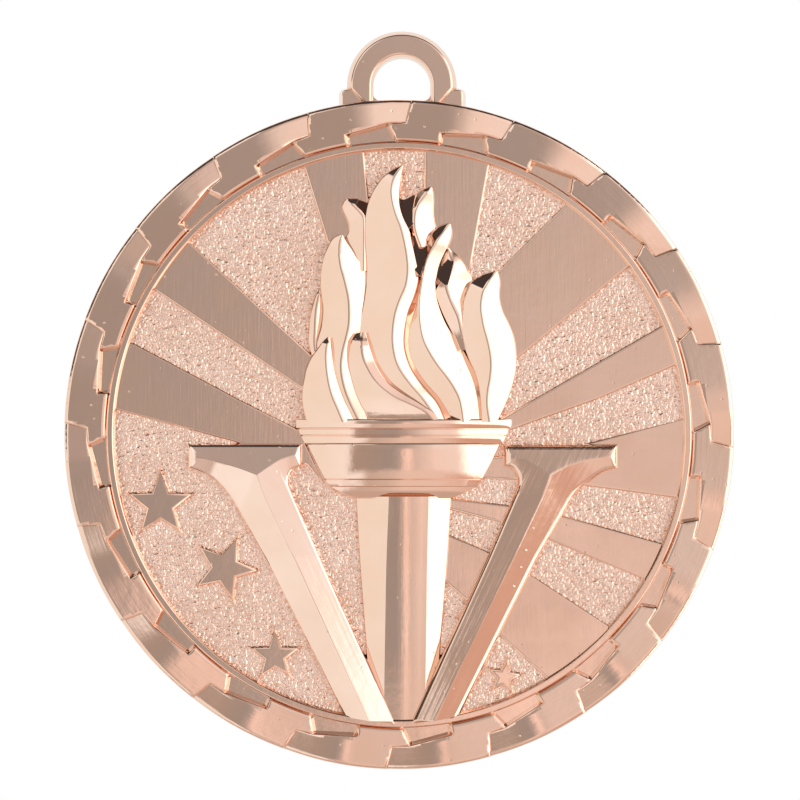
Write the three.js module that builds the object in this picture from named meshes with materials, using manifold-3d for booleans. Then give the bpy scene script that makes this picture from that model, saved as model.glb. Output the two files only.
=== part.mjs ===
// A 2 inch victory-torch medal: a disc with a hanging loop, a border of overlapping plates,
// a bead ring, sun rays on a stippled ground, four stars, a V and a flaming torch.
// The medal stands upright: X across, Z up to the loop, its face towards -Y.
// Its flat back lies in the plane y = 0, and the origin is the disc's centre on that back.
// Places on the face are (x, z); a height is the distance in front of the back plane.

import * as THREE from 'three';
import { mergeVertices } from 'three/addons/utils/BufferGeometryUtils.js';
import Module from 'manifold-3d';

const wasm = await Module();
wasm.setup();

// ---- driving dimensions, millimetres ----

const DISC_RADIUS = 25.4;
const FIELD_HEIGHT = 2.0;          // the stippled ground
const BORDER_STEP_HEIGHT = 2.4;    // the ledge that the border plates stand on
const BORDER_STEP_RADIUS = 22.45;
const BACK_CHAMFER = 0.35;
const DISC_SIDES = 120;            // facets round the disc, 3 degrees each

const RING_INNER = 21.55;
const RING_OUTER = 22.3;
const RING_HEIGHT = 2.95;
const RING_DRAFT = 0.15;

const PLATE_COUNT = 20;
const PLATE_PITCH = 360 / PLATE_COUNT;
const PLATE_START = 2.2;           // clock angle where the first plate begins
const PLATE_OVERLAP = 0.4;         // degrees of clear gap before the next plate
const PLATE_HIGH = 3.15;
const PLATE_LOW = 2.75;

const RAY_HEIGHT = 2.25;
const RAY_OUTER = 21.45;
const STAR_HEIGHT = 2.5;
const STAR_WAIST = 0.42;           // inner radius over outer radius

const ARM_EDGE = 2.75;
const ARM_CREST = 3.45;
const SERIF_HEIGHT = 3.2;
const STEM_EDGE = 2.5;
const STEM_CREST = 3.4;

const BOWL_CENTRE = 0.34;
const BOWL_SIDES = 20;             // facets across the half-round front

const LOOP_CENTRE = [0.21, 26.5];
const LOOP_OUTER = 4.17;
const LOOP_INNER = 2.22;
const LOOP_HEIGHT = 2.5;
const SHOULDER_HEIGHT = 2.2;

const PIECE_GAP = 0.15;            // clear space beside a form that stands in front
const TONGUE_STEPS = 12;           // sections along a flame tongue
const CUTTER_TOP = 8;              // cutters reach well past every form

const GOLD_PINK = { color: 0xd9a48c, roughness: 0.22, metalness: 1 };
const SATIN_PINK = { color: 0xc9967f, roughness: 0.38, metalness: 1 };
const GROUND_PINK = { color: 0xe0b5a0, roughness: 0.55, metalness: 1 };

// ---- helpers ----

const radians = THREE.MathUtils.degToRad;

/** The place at a clock angle (0 is up, clockwise as the face is seen) and a radius. */
function clock(degrees, radius) {
  return [radius * Math.sin(radians(degrees)), radius * Math.cos(radians(degrees))];
}

/** A point on the face at a height in front of the back plane. */
function lift([x, z], height) {
  return new THREE.Vector3(x, -height, z);
}

/** A closed indexed geometry from corners and triangles, turned so its faces point out. */
function closedGeometry(corners, triangles) {
  let volume = 0;
  for (const [a, b, c] of triangles) {
    volume += corners[a].dot(new THREE.Vector3().crossVectors(corners[b], corners[c]));
  }
  const order = volume < 0 ? triangles.map(([a, b, c]) => [a, c, b]) : triangles;
  const geometry = new THREE.BufferGeometry().setFromPoints(corners);
  geometry.setIndex(order.flat());
  return geometry;
}

/** Joins a row of closed sections, each a loop of the same number of points. */
function loft(sections) {
  const size = sections[0].length;
  const last = (sections.length - 1) * size;
  const triangles = [];
  for (let i = 0; i < sections.length - 1; i += 1) {
    for (let j = 0; j < size; j += 1) {
      const a = i * size + j;
      const b = i * size + ((j + 1) % size);
      triangles.push([a, b, b + size], [a, b + size, a + size]);
    }
  }
  for (let j = 1; j < size - 1; j += 1) {
    triangles.push([0, j + 1, j], [last, last + j, last + j + 1]);
  }
  return closedGeometry(sections.flat(), triangles);
}

/** A slab over an outline, from one height up to a top that may slope. */
function slab(outline, bottom, top) {
  const topAt = typeof top === 'function' ? top : () => top;
  const count = outline.length;
  const flat = outline.map(([x, z]) => new THREE.Vector2(x, z));
  const faces = THREE.ShapeUtils.triangulateShape(flat, []);
  const corners = [
    ...outline.map((place) => lift(place, bottom)),
    ...outline.map((place, i) => lift(place, topAt(place, i))),
  ];
  const triangles = faces.map(([a, b, c]) => [a, c, b]);
  triangles.push(...faces.map((face) => face.map((i) => i + count)));
  const clockwise = THREE.ShapeUtils.isClockWise(flat);
  for (let i = 0; i < count; i += 1) {
    const j = (i + 1) % count;
    const [a, b] = clockwise ? [j, i] : [i, j];
    triangles.push([a, b, b + count], [a, b + count, a + count]);
  }
  return closedGeometry(corners, triangles);
}

/** The geometry as a manifold-3d solid. */
function solid(geometry) {
  const bare = geometry.clone();
  bare.deleteAttribute('normal');
  bare.deleteAttribute('uv');
  const merged = mergeVertices(bare, 1e-5);
  const vertProperties = new Float32Array(merged.attributes.position.array);
  const triVerts = new Uint32Array(merged.index.array);
  return new wasm.Manifold(new wasm.Mesh({ numProp: 3, vertProperties, triVerts }));
}

/** The geometry less every cutter. */
function cut(geometry, cutters) {
  let body = solid(geometry);
  for (const cutter of cutters) {
    body = body.subtract(solid(cutter));
  }
  const mesh = body.getMesh();
  const result = new THREE.BufferGeometry();
  result.setAttribute('position', new THREE.BufferAttribute(new Float32Array(mesh.vertProperties), 3));
  result.setIndex(new THREE.BufferAttribute(new Uint32Array(mesh.triVerts), 1));
  return result;
}

/** Moves one place away from another by a distance. */
function away(place, from, distance) {
  const direction = new THREE.Vector2(place[0] - from[0], place[1] - from[1]).setLength(distance);
  return [place[0] + direction.x, place[1] + direction.y];
}

const medal = new THREE.Group();

function add(name, geometry, finish) {
  geometry.computeVertexNormals();
  const mesh = new THREE.Mesh(geometry, new THREE.MeshStandardMaterial(finish));
  mesh.name = name;
  medal.add(mesh);
}

// ---- disc and bead ring ----

/** The disc: flat back with a small chamfer, stippled ground, and the border's ledge. */
function planchetGeometry() {
  const profile = [
    [0, -FIELD_HEIGHT],
    [BORDER_STEP_RADIUS, -FIELD_HEIGHT],
    [BORDER_STEP_RADIUS, -BORDER_STEP_HEIGHT],
    [DISC_RADIUS, -BORDER_STEP_HEIGHT],
    [DISC_RADIUS, -BACK_CHAMFER],
    [DISC_RADIUS - BACK_CHAMFER, 0],
    [0, 0],
  ];
  return new THREE.LatheGeometry(profile.map(([r, y]) => new THREE.Vector2(r, y)), DISC_SIDES);
}

/** The bead ring: a smooth raised ring with drafted walls. */
function ringGeometry() {
  const profile = [
    [RING_INNER, -FIELD_HEIGHT],
    [RING_INNER + RING_DRAFT, -RING_HEIGHT],
    [RING_OUTER - RING_DRAFT, -RING_HEIGHT],
    [RING_OUTER, -FIELD_HEIGHT],
    [RING_INNER, -FIELD_HEIGHT],
  ];
  return new THREE.LatheGeometry(profile.map(([r, y]) => new THREE.Vector2(r, y)), DISC_SIDES);
}

// ---- border plates ----

/** One plate's outline: a slanted start, a wedge-shaped window and a slanted end. */
function plateOutline(start) {
  const end = start + PLATE_PITCH - PLATE_OVERLAP;
  const outline = [];
  for (let degrees = end; degrees > start + 1; degrees -= 3) {
    outline.push(clock(degrees, DISC_RADIUS));
  }
  outline.push(
    clock(start, DISC_RADIUS),
    clock(start - 1, 23.67),
    clock(start - 4.2, 23.6),
    clock(start - 2.7, BORDER_STEP_RADIUS),
    clock(start + 1.5, BORDER_STEP_RADIUS),
    clock(start + 5.8, BORDER_STEP_RADIUS),
    clock(start + 5.6, 23.06),
    clock(start + 13.3, 23.6),
    clock(start + 16.6, 23.67),
  );
  return outline;
}

/** A plate stands high where it starts and sinks under the start of the next one. */
function plateGeometry(start) {
  const span = PLATE_PITCH + 4;
  const height = ([x, z]) => {
    const degrees = THREE.MathUtils.radToDeg(Math.atan2(x, z));
    const along = THREE.MathUtils.euclideanModulo(degrees - start + 4.5, 360) / span;
    return PLATE_HIGH - (PLATE_HIGH - PLATE_LOW) * Math.min(along, 1) ** 2;
  };
  return slab(plateOutline(start), BORDER_STEP_HEIGHT, height);
}

// ---- hanging loop ----

/** The height in z of the disc's facetted edge at a given x, near the top of the disc. */
function discEdge(x) {
  const step = 360 / DISC_SIDES;
  const first = Math.floor(THREE.MathUtils.radToDeg(Math.asin(x / DISC_RADIUS)) / step) * step;
  const [x0, z0] = clock(first, DISC_RADIUS);
  const [x1, z1] = clock(first + step, DISC_RADIUS);
  return z0 + ((z1 - z0) * (x - x0)) / (x1 - x0);
}

/** Places along the disc's facetted edge between two values of x, its corners included. */
function discRun(fromX, toX) {
  const step = 360 / DISC_SIDES;
  const corners = [];
  for (let degrees = -4 * step; degrees <= 4 * step; degrees += step) {
    const corner = clock(degrees, DISC_RADIUS);
    if (corner[0] > Math.min(fromX, toX) && corner[0] < Math.max(fromX, toX)) {
      corners.push(corner);
    }
  }
  if (toX < fromX) {
    corners.reverse();
  }
  return [[fromX, discEdge(fromX)], ...corners, [toX, discEdge(toX)]];
}

/** Places on a circle about the loop's centre, from one clock angle to another. */
function loopArc(radius, from, to, steps) {
  const places = [];
  for (let i = 0; i <= steps; i += 1) {
    const [x, z] = clock(from + ((to - from) * i) / steps, radius);
    places.push([LOOP_CENTRE[0] + x, LOOP_CENTRE[1] + z]);
  }
  return places;
}

const FOOT_SPREAD = 93;            // clock angle on the loop where a shoulder begins
const LEFT_FOOT = -2.75;           // x where the loop's flat foot meets the disc
const RIGHT_FOOT = 3.25;

/** The loop is an arch that stands on the disc's edge, which closes its D-shaped hole. */
function loopGeometry() {
  const outline = [
    ...loopArc(LOOP_OUTER, -FOOT_SPREAD, FOOT_SPREAD, 28),
    ...discRun(RIGHT_FOOT, LOOP_CENTRE[0] + LOOP_INNER),
    ...loopArc(LOOP_INNER, 90, -90, 20),
    ...discRun(LOOP_CENTRE[0] - LOOP_INNER, LEFT_FOOT),
  ];
  return slab(outline, 0, LOOP_HEIGHT);
}

/** A shoulder block beside the loop's foot, with a rounded outer corner. */
function shoulderGeometry(side, footX, outerX) {
  const joint = loopArc(LOOP_OUTER, side * FOOT_SPREAD, side * FOOT_SPREAD, 1)[0];
  const outline = [
    joint,
    [outerX - side * 0.45, 26.42],
    [outerX - side * 0.12, 26.3],
    [outerX, 26.0],
    ...discRun(outerX, footX),
  ];
  return slab(outline, 0, SHOULDER_HEIGHT);
}

// ---- the V ----

// Each row crosses an arm: left edge, crest, right edge, then the edges' and crest's heights.
const LEFT_ARM_ROWS = [
  [[-16.0, -0.75], [-11.4, -0.75], [-7.4, -0.75], SERIF_HEIGHT, SERIF_HEIGHT],
  [[-16.0, -2.45], [-11.0, -1.9], [-7.45, -2.35], ARM_EDGE, SERIF_HEIGHT],
  [[-14.5, -3.1], [-10.75, -3.05], [-8.05, -2.6], ARM_EDGE, ARM_CREST],
  [[-13.3, -4.0], [-10.5, -3.9], [-8.4, -3.3], ARM_EDGE, ARM_CREST],
  [[-12.45, -5.25], [-10.0, -5.2], [-8.3, -4.2], ARM_EDGE, ARM_CREST],
  [[-10.06, -9.45], [-7.9, -9.45], [-5.95, -9.45], ARM_EDGE, ARM_CREST],
  [[-4.1, -21.05], [-2.34, -21.35], [-0.42, -21.45], ARM_EDGE, ARM_CREST],
];

const RIGHT_ARM_ROWS = [
  [[8.0, -0.8], [12.1, -0.8], [16.5, -0.8], SERIF_HEIGHT, SERIF_HEIGHT],
  [[8.0, -2.35], [11.8, -1.9], [16.5, -2.5], ARM_EDGE, SERIF_HEIGHT],
  [[8.57, -2.55], [11.45, -3.0], [15.2, -2.85], ARM_EDGE, ARM_CREST],
  [[8.97, -3.1], [11.25, -3.6], [14.16, -3.73], ARM_EDGE, ARM_CREST],
  [[9.0, -3.75], [11.0, -4.4], [13.4, -4.4], ARM_EDGE, ARM_CREST],
  [[6.9, -8.8], [8.57, -9.45], [10.45, -9.45], ARM_EDGE, ARM_CREST],
  [[1.15, -21.4], [2.56, -21.3], [4.4, -20.95], ARM_EDGE, ARM_CREST],
];

/** An arm of the V, roof-shaped about its crest; a grown one is a cutter. */
function armGeometry(rows, gap = 0) {
  const sections = rows.map(([left, crest, right, edgeHeight, crestHeight]) => {
    const outLeft = gap ? away(left, crest, gap) : left;
    const outRight = gap ? away(right, crest, gap) : right;
    const rise = gap ? CUTTER_TOP : 0;
    return [
      lift(outLeft, FIELD_HEIGHT - gap),
      lift(outLeft, edgeHeight + rise),
      lift(crest, crestHeight + rise),
      lift(outRight, edgeHeight + rise),
      lift(outRight, FIELD_HEIGHT - gap),
    ];
  });
  return loft(sections);
}

// ---- torch stem and bowl ----

// Each row crosses the stem: z, left edge, front facet's two sides, right edge, edge height.
// Below z = -17 the arms close in, and the side facets run out against them.
const STEM_ROWS = [
  [-4.92, -3.27, -0.95, 2.07, 3.97, STEM_EDGE],
  [-17.0, -2.28, -1.12, 1.95, 2.95, STEM_EDGE],
  [-19.9, -0.95, -0.9, 1.6, 1.65, STEM_CREST],
  [-21.35, -0.25, -0.2, 0.95, 1.0, STEM_CREST],
];

/** The stem tapers down between the arms: two side facets and a flat one in front. */
function stemGeometry(gap = 0) {
  const sections = STEM_ROWS.map(([z, left, innerLeft, innerRight, right, edge]) => [
    lift([left - gap, z], FIELD_HEIGHT - gap),
    lift([left - gap, z], edge + gap),
    lift([innerLeft - gap, z], STEM_CREST + 2 * gap),
    lift([innerRight + gap, z], STEM_CREST + 2 * gap),
    lift([right + gap, z], edge + gap),
    lift([right + gap, z], FIELD_HEIGHT - gap),
  ]);
  return loft(sections);
}

/** A half-round form across the torch: rows of height on the face, half width and depth. */
function halfRound(rows, gap = 0) {
  const sections = rows.map(([z, halfWidth, depth]) => {
    const section = [];
    for (let i = 0; i <= BOWL_SIDES; i += 1) {
      const turn = (Math.PI * i) / BOWL_SIDES;
      const x = BOWL_CENTRE - (halfWidth + gap) * Math.cos(turn);
      section.push(lift([x, z], FIELD_HEIGHT - gap + (depth + 2 * gap) * Math.sin(turn)));
    }
    return section;
  });
  return loft(sections);
}

// The rim carries three bands; each groove between them is a narrow step back.
const RIM_ROWS = [
  [1.1, 8.1, 2.2],
  [0.52, 8.1, 2.2],
  [0.44, 7.9, 2.05],
  [0.36, 7.95, 2.15],
  [0.0, 7.8, 2.15],
  [-0.07, 7.65, 2.0],
  [-0.14, 7.7, 2.1],
  [-0.66, 7.5, 2.1],
];
const BODY_ROWS = [
  [-0.72, 7.4, 2.05],
  [-2.0, 6.75, 1.95],
  [-3.37, 5.95, 1.75],
  [-3.43, 5.85, 1.65],
  [-3.93, 5.65, 1.65],
];
const FOOT_ROWS = [
  [-3.98, 5.6, 1.6],
  [-4.82, 3.75, 1.3],
];

// ---- flame ----

// A tongue is three curves from its root up to its tip: left edge, crest and right edge.
// Tongues are listed front ones first; each is cut clear of those before it.
const TONGUES = [
  {
    name: 'flame_front_centre',
    left: [[-2.35, 1.35], [-3.1, 2.9], [-3.7, 4.8], [-3.75, 6.3], [-3.3, 7.5]],
    crest: [[1.2, 1.5], [-0.9, 3.2], [-2.2, 4.6], [-2.85, 6.4], [-2.95, 7.65]],
    right: [[2.6, 1.35], [0.4, 3.0], [-1.2, 4.4], [-2.1, 6.2], [-2.55, 7.75]],
    edge: 3.5, crestHeight: 4.0,
  },
  {
    name: 'flame_front_left',
    left: [[-7.1, 1.35], [-7.3, 3.0], [-7.0, 5.0], [-6.2, 6.4], [-5.45, 7.3]],
    crest: [[-4.3, 1.35], [-5.1, 3.0], [-5.45, 5.0], [-5.5, 6.4], [-5.3, 7.35]],
    right: [[-3.5, 1.35], [-4.3, 2.8], [-4.85, 4.8], [-5.1, 6.4], [-5.2, 7.3]],
    edge: 3.3, crestHeight: 3.8,
  },
  {
    name: 'flame_main',
    left: [[-2.0, 3.4], [-2.9, 8.5], [-2.45, 11.8], [-2.6, 15.4], [-1.9, 18.5], [0.05, 20.25]],
    crest: [[1.6, 2.8], [-0.45, 7.2], [0.65, 12.2], [0.0, 16.1], [-0.55, 18.6], [0.2, 20.3]],
    right: [[3.1, 1.8], [0.35, 7.2], [1.45, 12.0], [0.5, 16.0], [0.05, 18.5], [0.3, 20.3]],
    edge: 3.4, crestHeight: 4.0,
  },
  {
    name: 'flame_right_curl',
    left: [[3.6, 1.35], [1.6, 5.0], [1.1, 9.0], [1.5, 12.2], [2.3, 14.3], [3.65, 15.85]],
    crest: [[4.85, 1.35], [3.1, 5.0], [1.5, 8.8], [1.85, 12.4], [2.8, 14.6], [3.75, 15.95]],
    right: [[6.3, 1.35], [5.4, 5.4], [2.9, 10.0], [2.95, 12.5], [3.75, 14.6], [3.9, 15.9]],
    edge: 3.3, crestHeight: 3.9,
  },
  {
    name: 'flame_left',
    left: [[-3.6, 1.35], [-5.0, 5.0], [-5.95, 8.0], [-5.9, 11.5], [-5.5, 14.1], [-4.45, 15.1]],
    crest: [[-3.0, 1.35], [-4.35, 5.3], [-3.8, 8.8], [-4.2, 12.0], [-4.55, 14.2], [-4.35, 15.1]],
    right: [[-2.4, 1.35], [-3.3, 5.3], [-2.9, 8.6], [-2.55, 11.0], [-3.5, 13.4], [-4.25, 15.0]],
    edge: 3.1, crestHeight: 3.7,
  },
  {
    name: 'flame_right_outer',
    left: [[6.4, 1.35], [6.0, 4.5], [5.1, 6.6], [4.9, 8.6], [5.2, 10.8], [7.2, 12.3]],
    crest: [[6.8, 1.35], [7.0, 5.0], [6.7, 7.2], [6.25, 9.6], [6.6, 11.2], [7.35, 12.35]],
    right: [[7.4, 1.35], [8.7, 4.4], [8.6, 7.5], [7.65, 9.8], [7.6, 11.4], [7.5, 12.3]],
    edge: 3.1, crestHeight: 3.7,
  },
  {
    name: 'flame_right_back',
    left: [[1.55, 14.6], [1.05, 15.8], [0.95, 17.0], [1.3, 18.1], [2.3, 18.7]],
    crest: [[1.7, 14.6], [1.25, 15.8], [1.3, 17.1], [1.8, 18.1], [2.4, 18.75]],
    right: [[2.5, 15.3], [2.75, 15.9], [2.55, 17.0], [2.6, 17.9], [2.5, 18.7]],
    edge: 2.7, crestHeight: 3.2,
  },
  {
    name: 'flame_right_middle',
    left: [[4.3, 8.2], [3.6, 9.6], [2.95, 11.7], [3.1, 13.0], [3.65, 14.1]],
    crest: [[4.6, 8.3], [4.3, 9.6], [3.8, 11.4], [3.9, 12.9], [3.75, 14.1]],
    right: [[4.85, 8.2], [4.9, 9.8], [5.4, 11.6], [4.7, 13.1], [3.85, 14.1]],
    edge: 2.7, crestHeight: 3.2,
  },
  {
    name: 'flame_left_back',
    left: [[-3.0, 12.8], [-4.1, 14.7], [-3.6, 15.8], [-4.05, 17.0], [-4.05, 17.85]],
    crest: [[-2.8, 12.8], [-3.5, 14.6], [-3.2, 15.8], [-3.5, 17.0], [-3.95, 17.9]],
    right: [[-2.6, 12.8], [-2.6, 14.6], [-2.6, 15.8], [-2.4, 17.2], [-3.8, 17.9]],
    edge: 2.7, crestHeight: 3.1,
  },
  {
    name: 'flame_left_edge',
    left: [[-6.85, 6.3], [-6.85, 7.8], [-6.55, 9.8], [-6.1, 11.0]],
    crest: [[-6.5, 6.3], [-6.35, 7.8], [-6.2, 9.8], [-6.05, 11.0]],
    right: [[-6.1, 6.3], [-5.9, 7.8], [-5.85, 9.8], [-6.0, 11.0]],
    edge: 2.5, crestHeight: 2.8,
  },
];

/** A copy of an end section, moved on by a distance past the section next to it. */
function beyond(end, next, distance) {
  const step = new THREE.Vector3().subVectors(end[2], next[2]).setY(0).setLength(distance);
  return end.map((corner) => corner.clone().add(step));
}

/** A tongue's solid; a grown one is a cutter that reaches past every form. */
function tongueGeometry({ left, crest, right, edge, crestHeight }, gap = 0) {
  const curves = [left, crest, right].map((places) => (
    new THREE.SplineCurve(places.map(([x, z]) => new THREE.Vector2(x, z)))
  ));
  const sections = [];
  for (let i = 0; i <= TONGUE_STEPS; i += 1) {
    const along = i / TONGUE_STEPS;
    const [l, c, r] = curves.map((curve) => curve.getPoint(along).toArray());
    const outLeft = gap ? away(l, r, gap) : l;
    const outRight = gap ? away(r, l, gap) : r;
    const rise = gap ? CUTTER_TOP : 0;
    sections.push([
      lift(outLeft, FIELD_HEIGHT - gap),
      lift(outLeft, edge + rise),
      lift(c, crestHeight + rise),
      lift(outRight, edge + rise),
      lift(outRight, FIELD_HEIGHT - gap),
    ]);
  }
  if (gap) {
    sections.unshift(beyond(sections[0], sections[1], gap));
    sections.push(beyond(sections.at(-1), sections.at(-2), gap));
  }
  return loft(sections);
}

// ---- sun rays ----

// A ray is a smooth raised wedge: two edge lines, each an outer place and an inner place.
const RAYS = [
  [[-7.12, 20.07], [-5.43, 14.6], [-2.65, 21.34], [-2.36, 18.09]],
  [[1.93, 21.34], [1.88, 17.8], [6.81, 20.24], [5.54, 12.6]],
  [[12.74, 17.56], [7.8, 12.6], [17.5, 12.78], [8.95, 5.71]],
  [[20.13, 8.35], [8.9, 1.9], [21.05, 5.3], [8.9, 0.7]],
  [[21.95, 1.24], [14.4, -0.6], [21.3, -4.83], [14.41, -3.91]],
  [[20.11, -8.32], [12.57, -6.21], [18.82, -11.08], [11.56, -8.05]],
  [[16.15, -14.67], [10.09, -10.71], [11.37, -18.63], [7.7, -15.31]],
  [[-15.69, 14.43], [-6.9, 6.3], [-18.41, 10.89], [-7.47, 3.57]],
  [[-20.05, 6.87], [-8.2, 0.75], [-21.36, 1.87], [-12.56, -0.51]],
];

// The stretches that show between the stem and the right arm.
const INNER_RAYS = [
  [[7.2, -1.75], [7.95, -1.75], [8.5, -2.75], [8.75, -3.4], [6.6, -3.35]],
  [[4.2, -5.0], [7.8, -5.4], [7.35, -6.6], [4.1, -5.75]],
  [[3.95, -7.8], [6.4, -8.85], [4.9, -12.2], [3.75, -11.2]],
];

/** The outline of a ray, its outer end an arc beside the bead ring. */
function rayOutline([outerA, innerA, outerB, innerB]) {
  const angleOf = ([x, z]) => THREE.MathUtils.radToDeg(Math.atan2(x, z));
  const from = angleOf(outerA);
  const span = THREE.MathUtils.euclideanModulo(angleOf(outerB) - from + 180, 360) - 180;
  const arcSteps = 4;
  const outline = [innerA];
  for (let i = 0; i <= arcSteps; i += 1) {
    outline.push(clock(from + (span * i) / arcSteps, RAY_OUTER));
  }
  outline.push(innerB);
  return outline;
}

// ---- stars ----

// Each star: centre, radius, and how far it is turned clockwise in degrees.
const STARS = [
  [[-18.1, -5.3], 2.68, 0],
  [[-13.2, -10.15], 2.65, 22],
  [[-9.4, -16.8], 2.05, 0],
  [[8.0, -18.4], 1.45, 10],
];

function starOutline([[x, z], radius, turn]) {
  const outline = [];
  for (let i = 0; i < 10; i += 1) {
    const [dx, dz] = clock(turn + 36 * i, i % 2 ? radius * STAR_WAIST : radius);
    outline.push([x + dx, z + dz]);
  }
  return outline;
}

// ---- assembly ----

add('planchet', planchetGeometry(), GROUND_PINK);
add('bead_ring', ringGeometry(), GOLD_PINK);

for (let i = 0; i < PLATE_COUNT; i += 1) {
  const number = String(i + 1).padStart(2, '0');
  add(`border_plate_${number}`, plateGeometry(PLATE_START + i * PLATE_PITCH), GOLD_PINK);
}

add('suspension_loop', loopGeometry(), GOLD_PINK);
add('loop_shoulder_left', shoulderGeometry(-1, LEFT_FOOT, -4.6), GOLD_PINK);
add('loop_shoulder_right', shoulderGeometry(1, RIGHT_FOOT, 5.1), GOLD_PINK);

const armCutters = [armGeometry(LEFT_ARM_ROWS, PIECE_GAP), armGeometry(RIGHT_ARM_ROWS, PIECE_GAP)];
add('v_arm_left', armGeometry(LEFT_ARM_ROWS), GOLD_PINK);
add('v_arm_right', armGeometry(RIGHT_ARM_ROWS), GOLD_PINK);
add('torch_stem', stemGeometry(), GOLD_PINK);

add('bowl_rim', halfRound(RIM_ROWS), GOLD_PINK);
add('bowl_body', halfRound(BODY_ROWS), GOLD_PINK);
add('bowl_foot', halfRound(FOOT_ROWS), GOLD_PINK);

const tongueCutters = TONGUES.map((tongue) => tongueGeometry(tongue, PIECE_GAP));
TONGUES.forEach((tongue, i) => {
  add(tongue.name, cut(tongueGeometry(tongue), tongueCutters.slice(0, i)), GOLD_PINK);
});

const bowlCutters = [halfRound(RIM_ROWS, PIECE_GAP), halfRound(BODY_ROWS, PIECE_GAP)];
const rayCutters = [...tongueCutters, ...armCutters, ...bowlCutters];
RAYS.forEach((ray, i) => {
  const shape = slab(rayOutline(ray), FIELD_HEIGHT, RAY_HEIGHT);
  add(`ray_${i + 1}`, cut(shape, rayCutters), SATIN_PINK);
});
INNER_RAYS.forEach((outline, i) => {
  const shape = slab(outline, FIELD_HEIGHT, RAY_HEIGHT);
  add(`ray_inner_${i + 1}`, cut(shape, [...rayCutters, stemGeometry(PIECE_GAP)]), SATIN_PINK);
});

STARS.forEach((star, i) => {
  add(`star_${i + 1}`, slab(starOutline(star), FIELD_HEIGHT, STAR_HEIGHT), GOLD_PINK);
});

export default medal;
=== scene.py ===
import math
import bmesh
import bpy
import numpy as np
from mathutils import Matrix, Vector
from mathutils.geometry import delaunay_2d_cdt


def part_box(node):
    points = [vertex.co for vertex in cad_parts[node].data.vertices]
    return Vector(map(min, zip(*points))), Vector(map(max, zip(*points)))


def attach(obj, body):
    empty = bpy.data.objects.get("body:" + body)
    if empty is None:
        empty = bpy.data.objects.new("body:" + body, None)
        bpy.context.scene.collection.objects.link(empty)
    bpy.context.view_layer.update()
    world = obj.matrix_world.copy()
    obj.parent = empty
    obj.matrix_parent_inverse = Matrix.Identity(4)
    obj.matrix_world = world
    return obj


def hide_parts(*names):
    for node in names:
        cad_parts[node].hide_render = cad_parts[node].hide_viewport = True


# A 2 inch victory-torch medal: a disc with a hanging loop, a border of overlapping
# plates, a bead ring, smooth sun rays on a stippled ground, four stars, a V and a torch.
# Forms are drawn in millimetres on the face: x to the right, z up, and a height in
# front of the flat back. A finished mesh is in metres, with the height along -Y.

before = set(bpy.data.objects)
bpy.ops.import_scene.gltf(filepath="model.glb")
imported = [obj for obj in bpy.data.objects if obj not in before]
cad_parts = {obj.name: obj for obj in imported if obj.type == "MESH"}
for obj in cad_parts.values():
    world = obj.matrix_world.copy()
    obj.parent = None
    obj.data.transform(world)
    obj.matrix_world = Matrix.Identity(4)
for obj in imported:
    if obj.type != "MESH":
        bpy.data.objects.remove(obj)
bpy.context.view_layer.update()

MM = 0.001

# ---- sizes taken from the CAD nodes, in millimetres ----


def height_of(node):
    """The lowest and highest height of a CAD node in front of the back plane."""
    low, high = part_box(node)
    return -high.y / MM, -low.y / MM


DISC_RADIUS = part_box("planchet")[1].x / MM
RING_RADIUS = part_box("bead_ring")[1].x / MM
GROUND, RING_TOP = height_of("bead_ring")
LEDGE, PLATE_TOP = height_of("border_plate_01")
RAY_TOP = height_of("ray_1")[1]
STAR_TOP = height_of("star_1")[1]
LOOP_TOP = height_of("suspension_loop")[1]
SHOULDER_TOP = height_of("loop_shoulder_left")[1]
ARM_TOP = height_of("v_arm_left")[1]
LOOP_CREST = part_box("suspension_loop")[1].z / MM

BURIED = GROUND - 0.12          # feet of raised forms end this deep, inside the disc
DRAFT = 0.16                    # how far a tall wall leans out at its foot
EDGE = 0.05                     # rounding of a polished edge

# ---- places on the face ----


def clock(degrees, radius):
    """The place at a clock angle, 0 up and clockwise as the face is seen."""
    turn = math.radians(degrees)
    return (radius * math.sin(turn), radius * math.cos(turn))


def arc(radius, start, end, steps, centre=(0.0, 0.0)):
    """Places along an arc between two clock angles."""
    places = [clock(start + (end - start) * i / steps, radius) for i in range(steps + 1)]
    return [(x + centre[0], z + centre[1]) for x, z in places]


def curve(places, count):
    """Evenly spaced places along a smooth curve through the given ones."""
    points = np.array(places, float)
    padded = np.vstack([2 * points[0] - points[1], points, 2 * points[-1] - points[-2]])
    fine = []
    for i in range(1, len(padded) - 2):
        a, b, c, d = padded[i - 1:i + 3]
        for t in np.linspace(0, 1, 24, endpoint=False):
            fine.append(0.5 * (2 * b + (c - a) * t + (2 * a - 5 * b + 4 * c - d) * t ** 2
                               + (3 * b - a - 3 * c + d) * t ** 3))
    fine.append(points[-1])
    fine = np.array(fine)
    run = np.concatenate([[0], np.cumsum(np.linalg.norm(np.diff(fine, axis=0), axis=1))])
    wanted = np.linspace(0, run[-1], count)
    return np.column_stack([np.interp(wanted, run, fine[:, k]) for k in range(fine.shape[1])])


def signed_area(outline):
    """Positive for an outline that runs counter-clockwise."""
    return 0.5 * sum(a[0] * b[1] - b[0] * a[1] for a, b in zip(outline, outline[1:] + outline[:1]))


MITRE = 0.35                    # holds back how far an inset corner reaches


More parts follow.
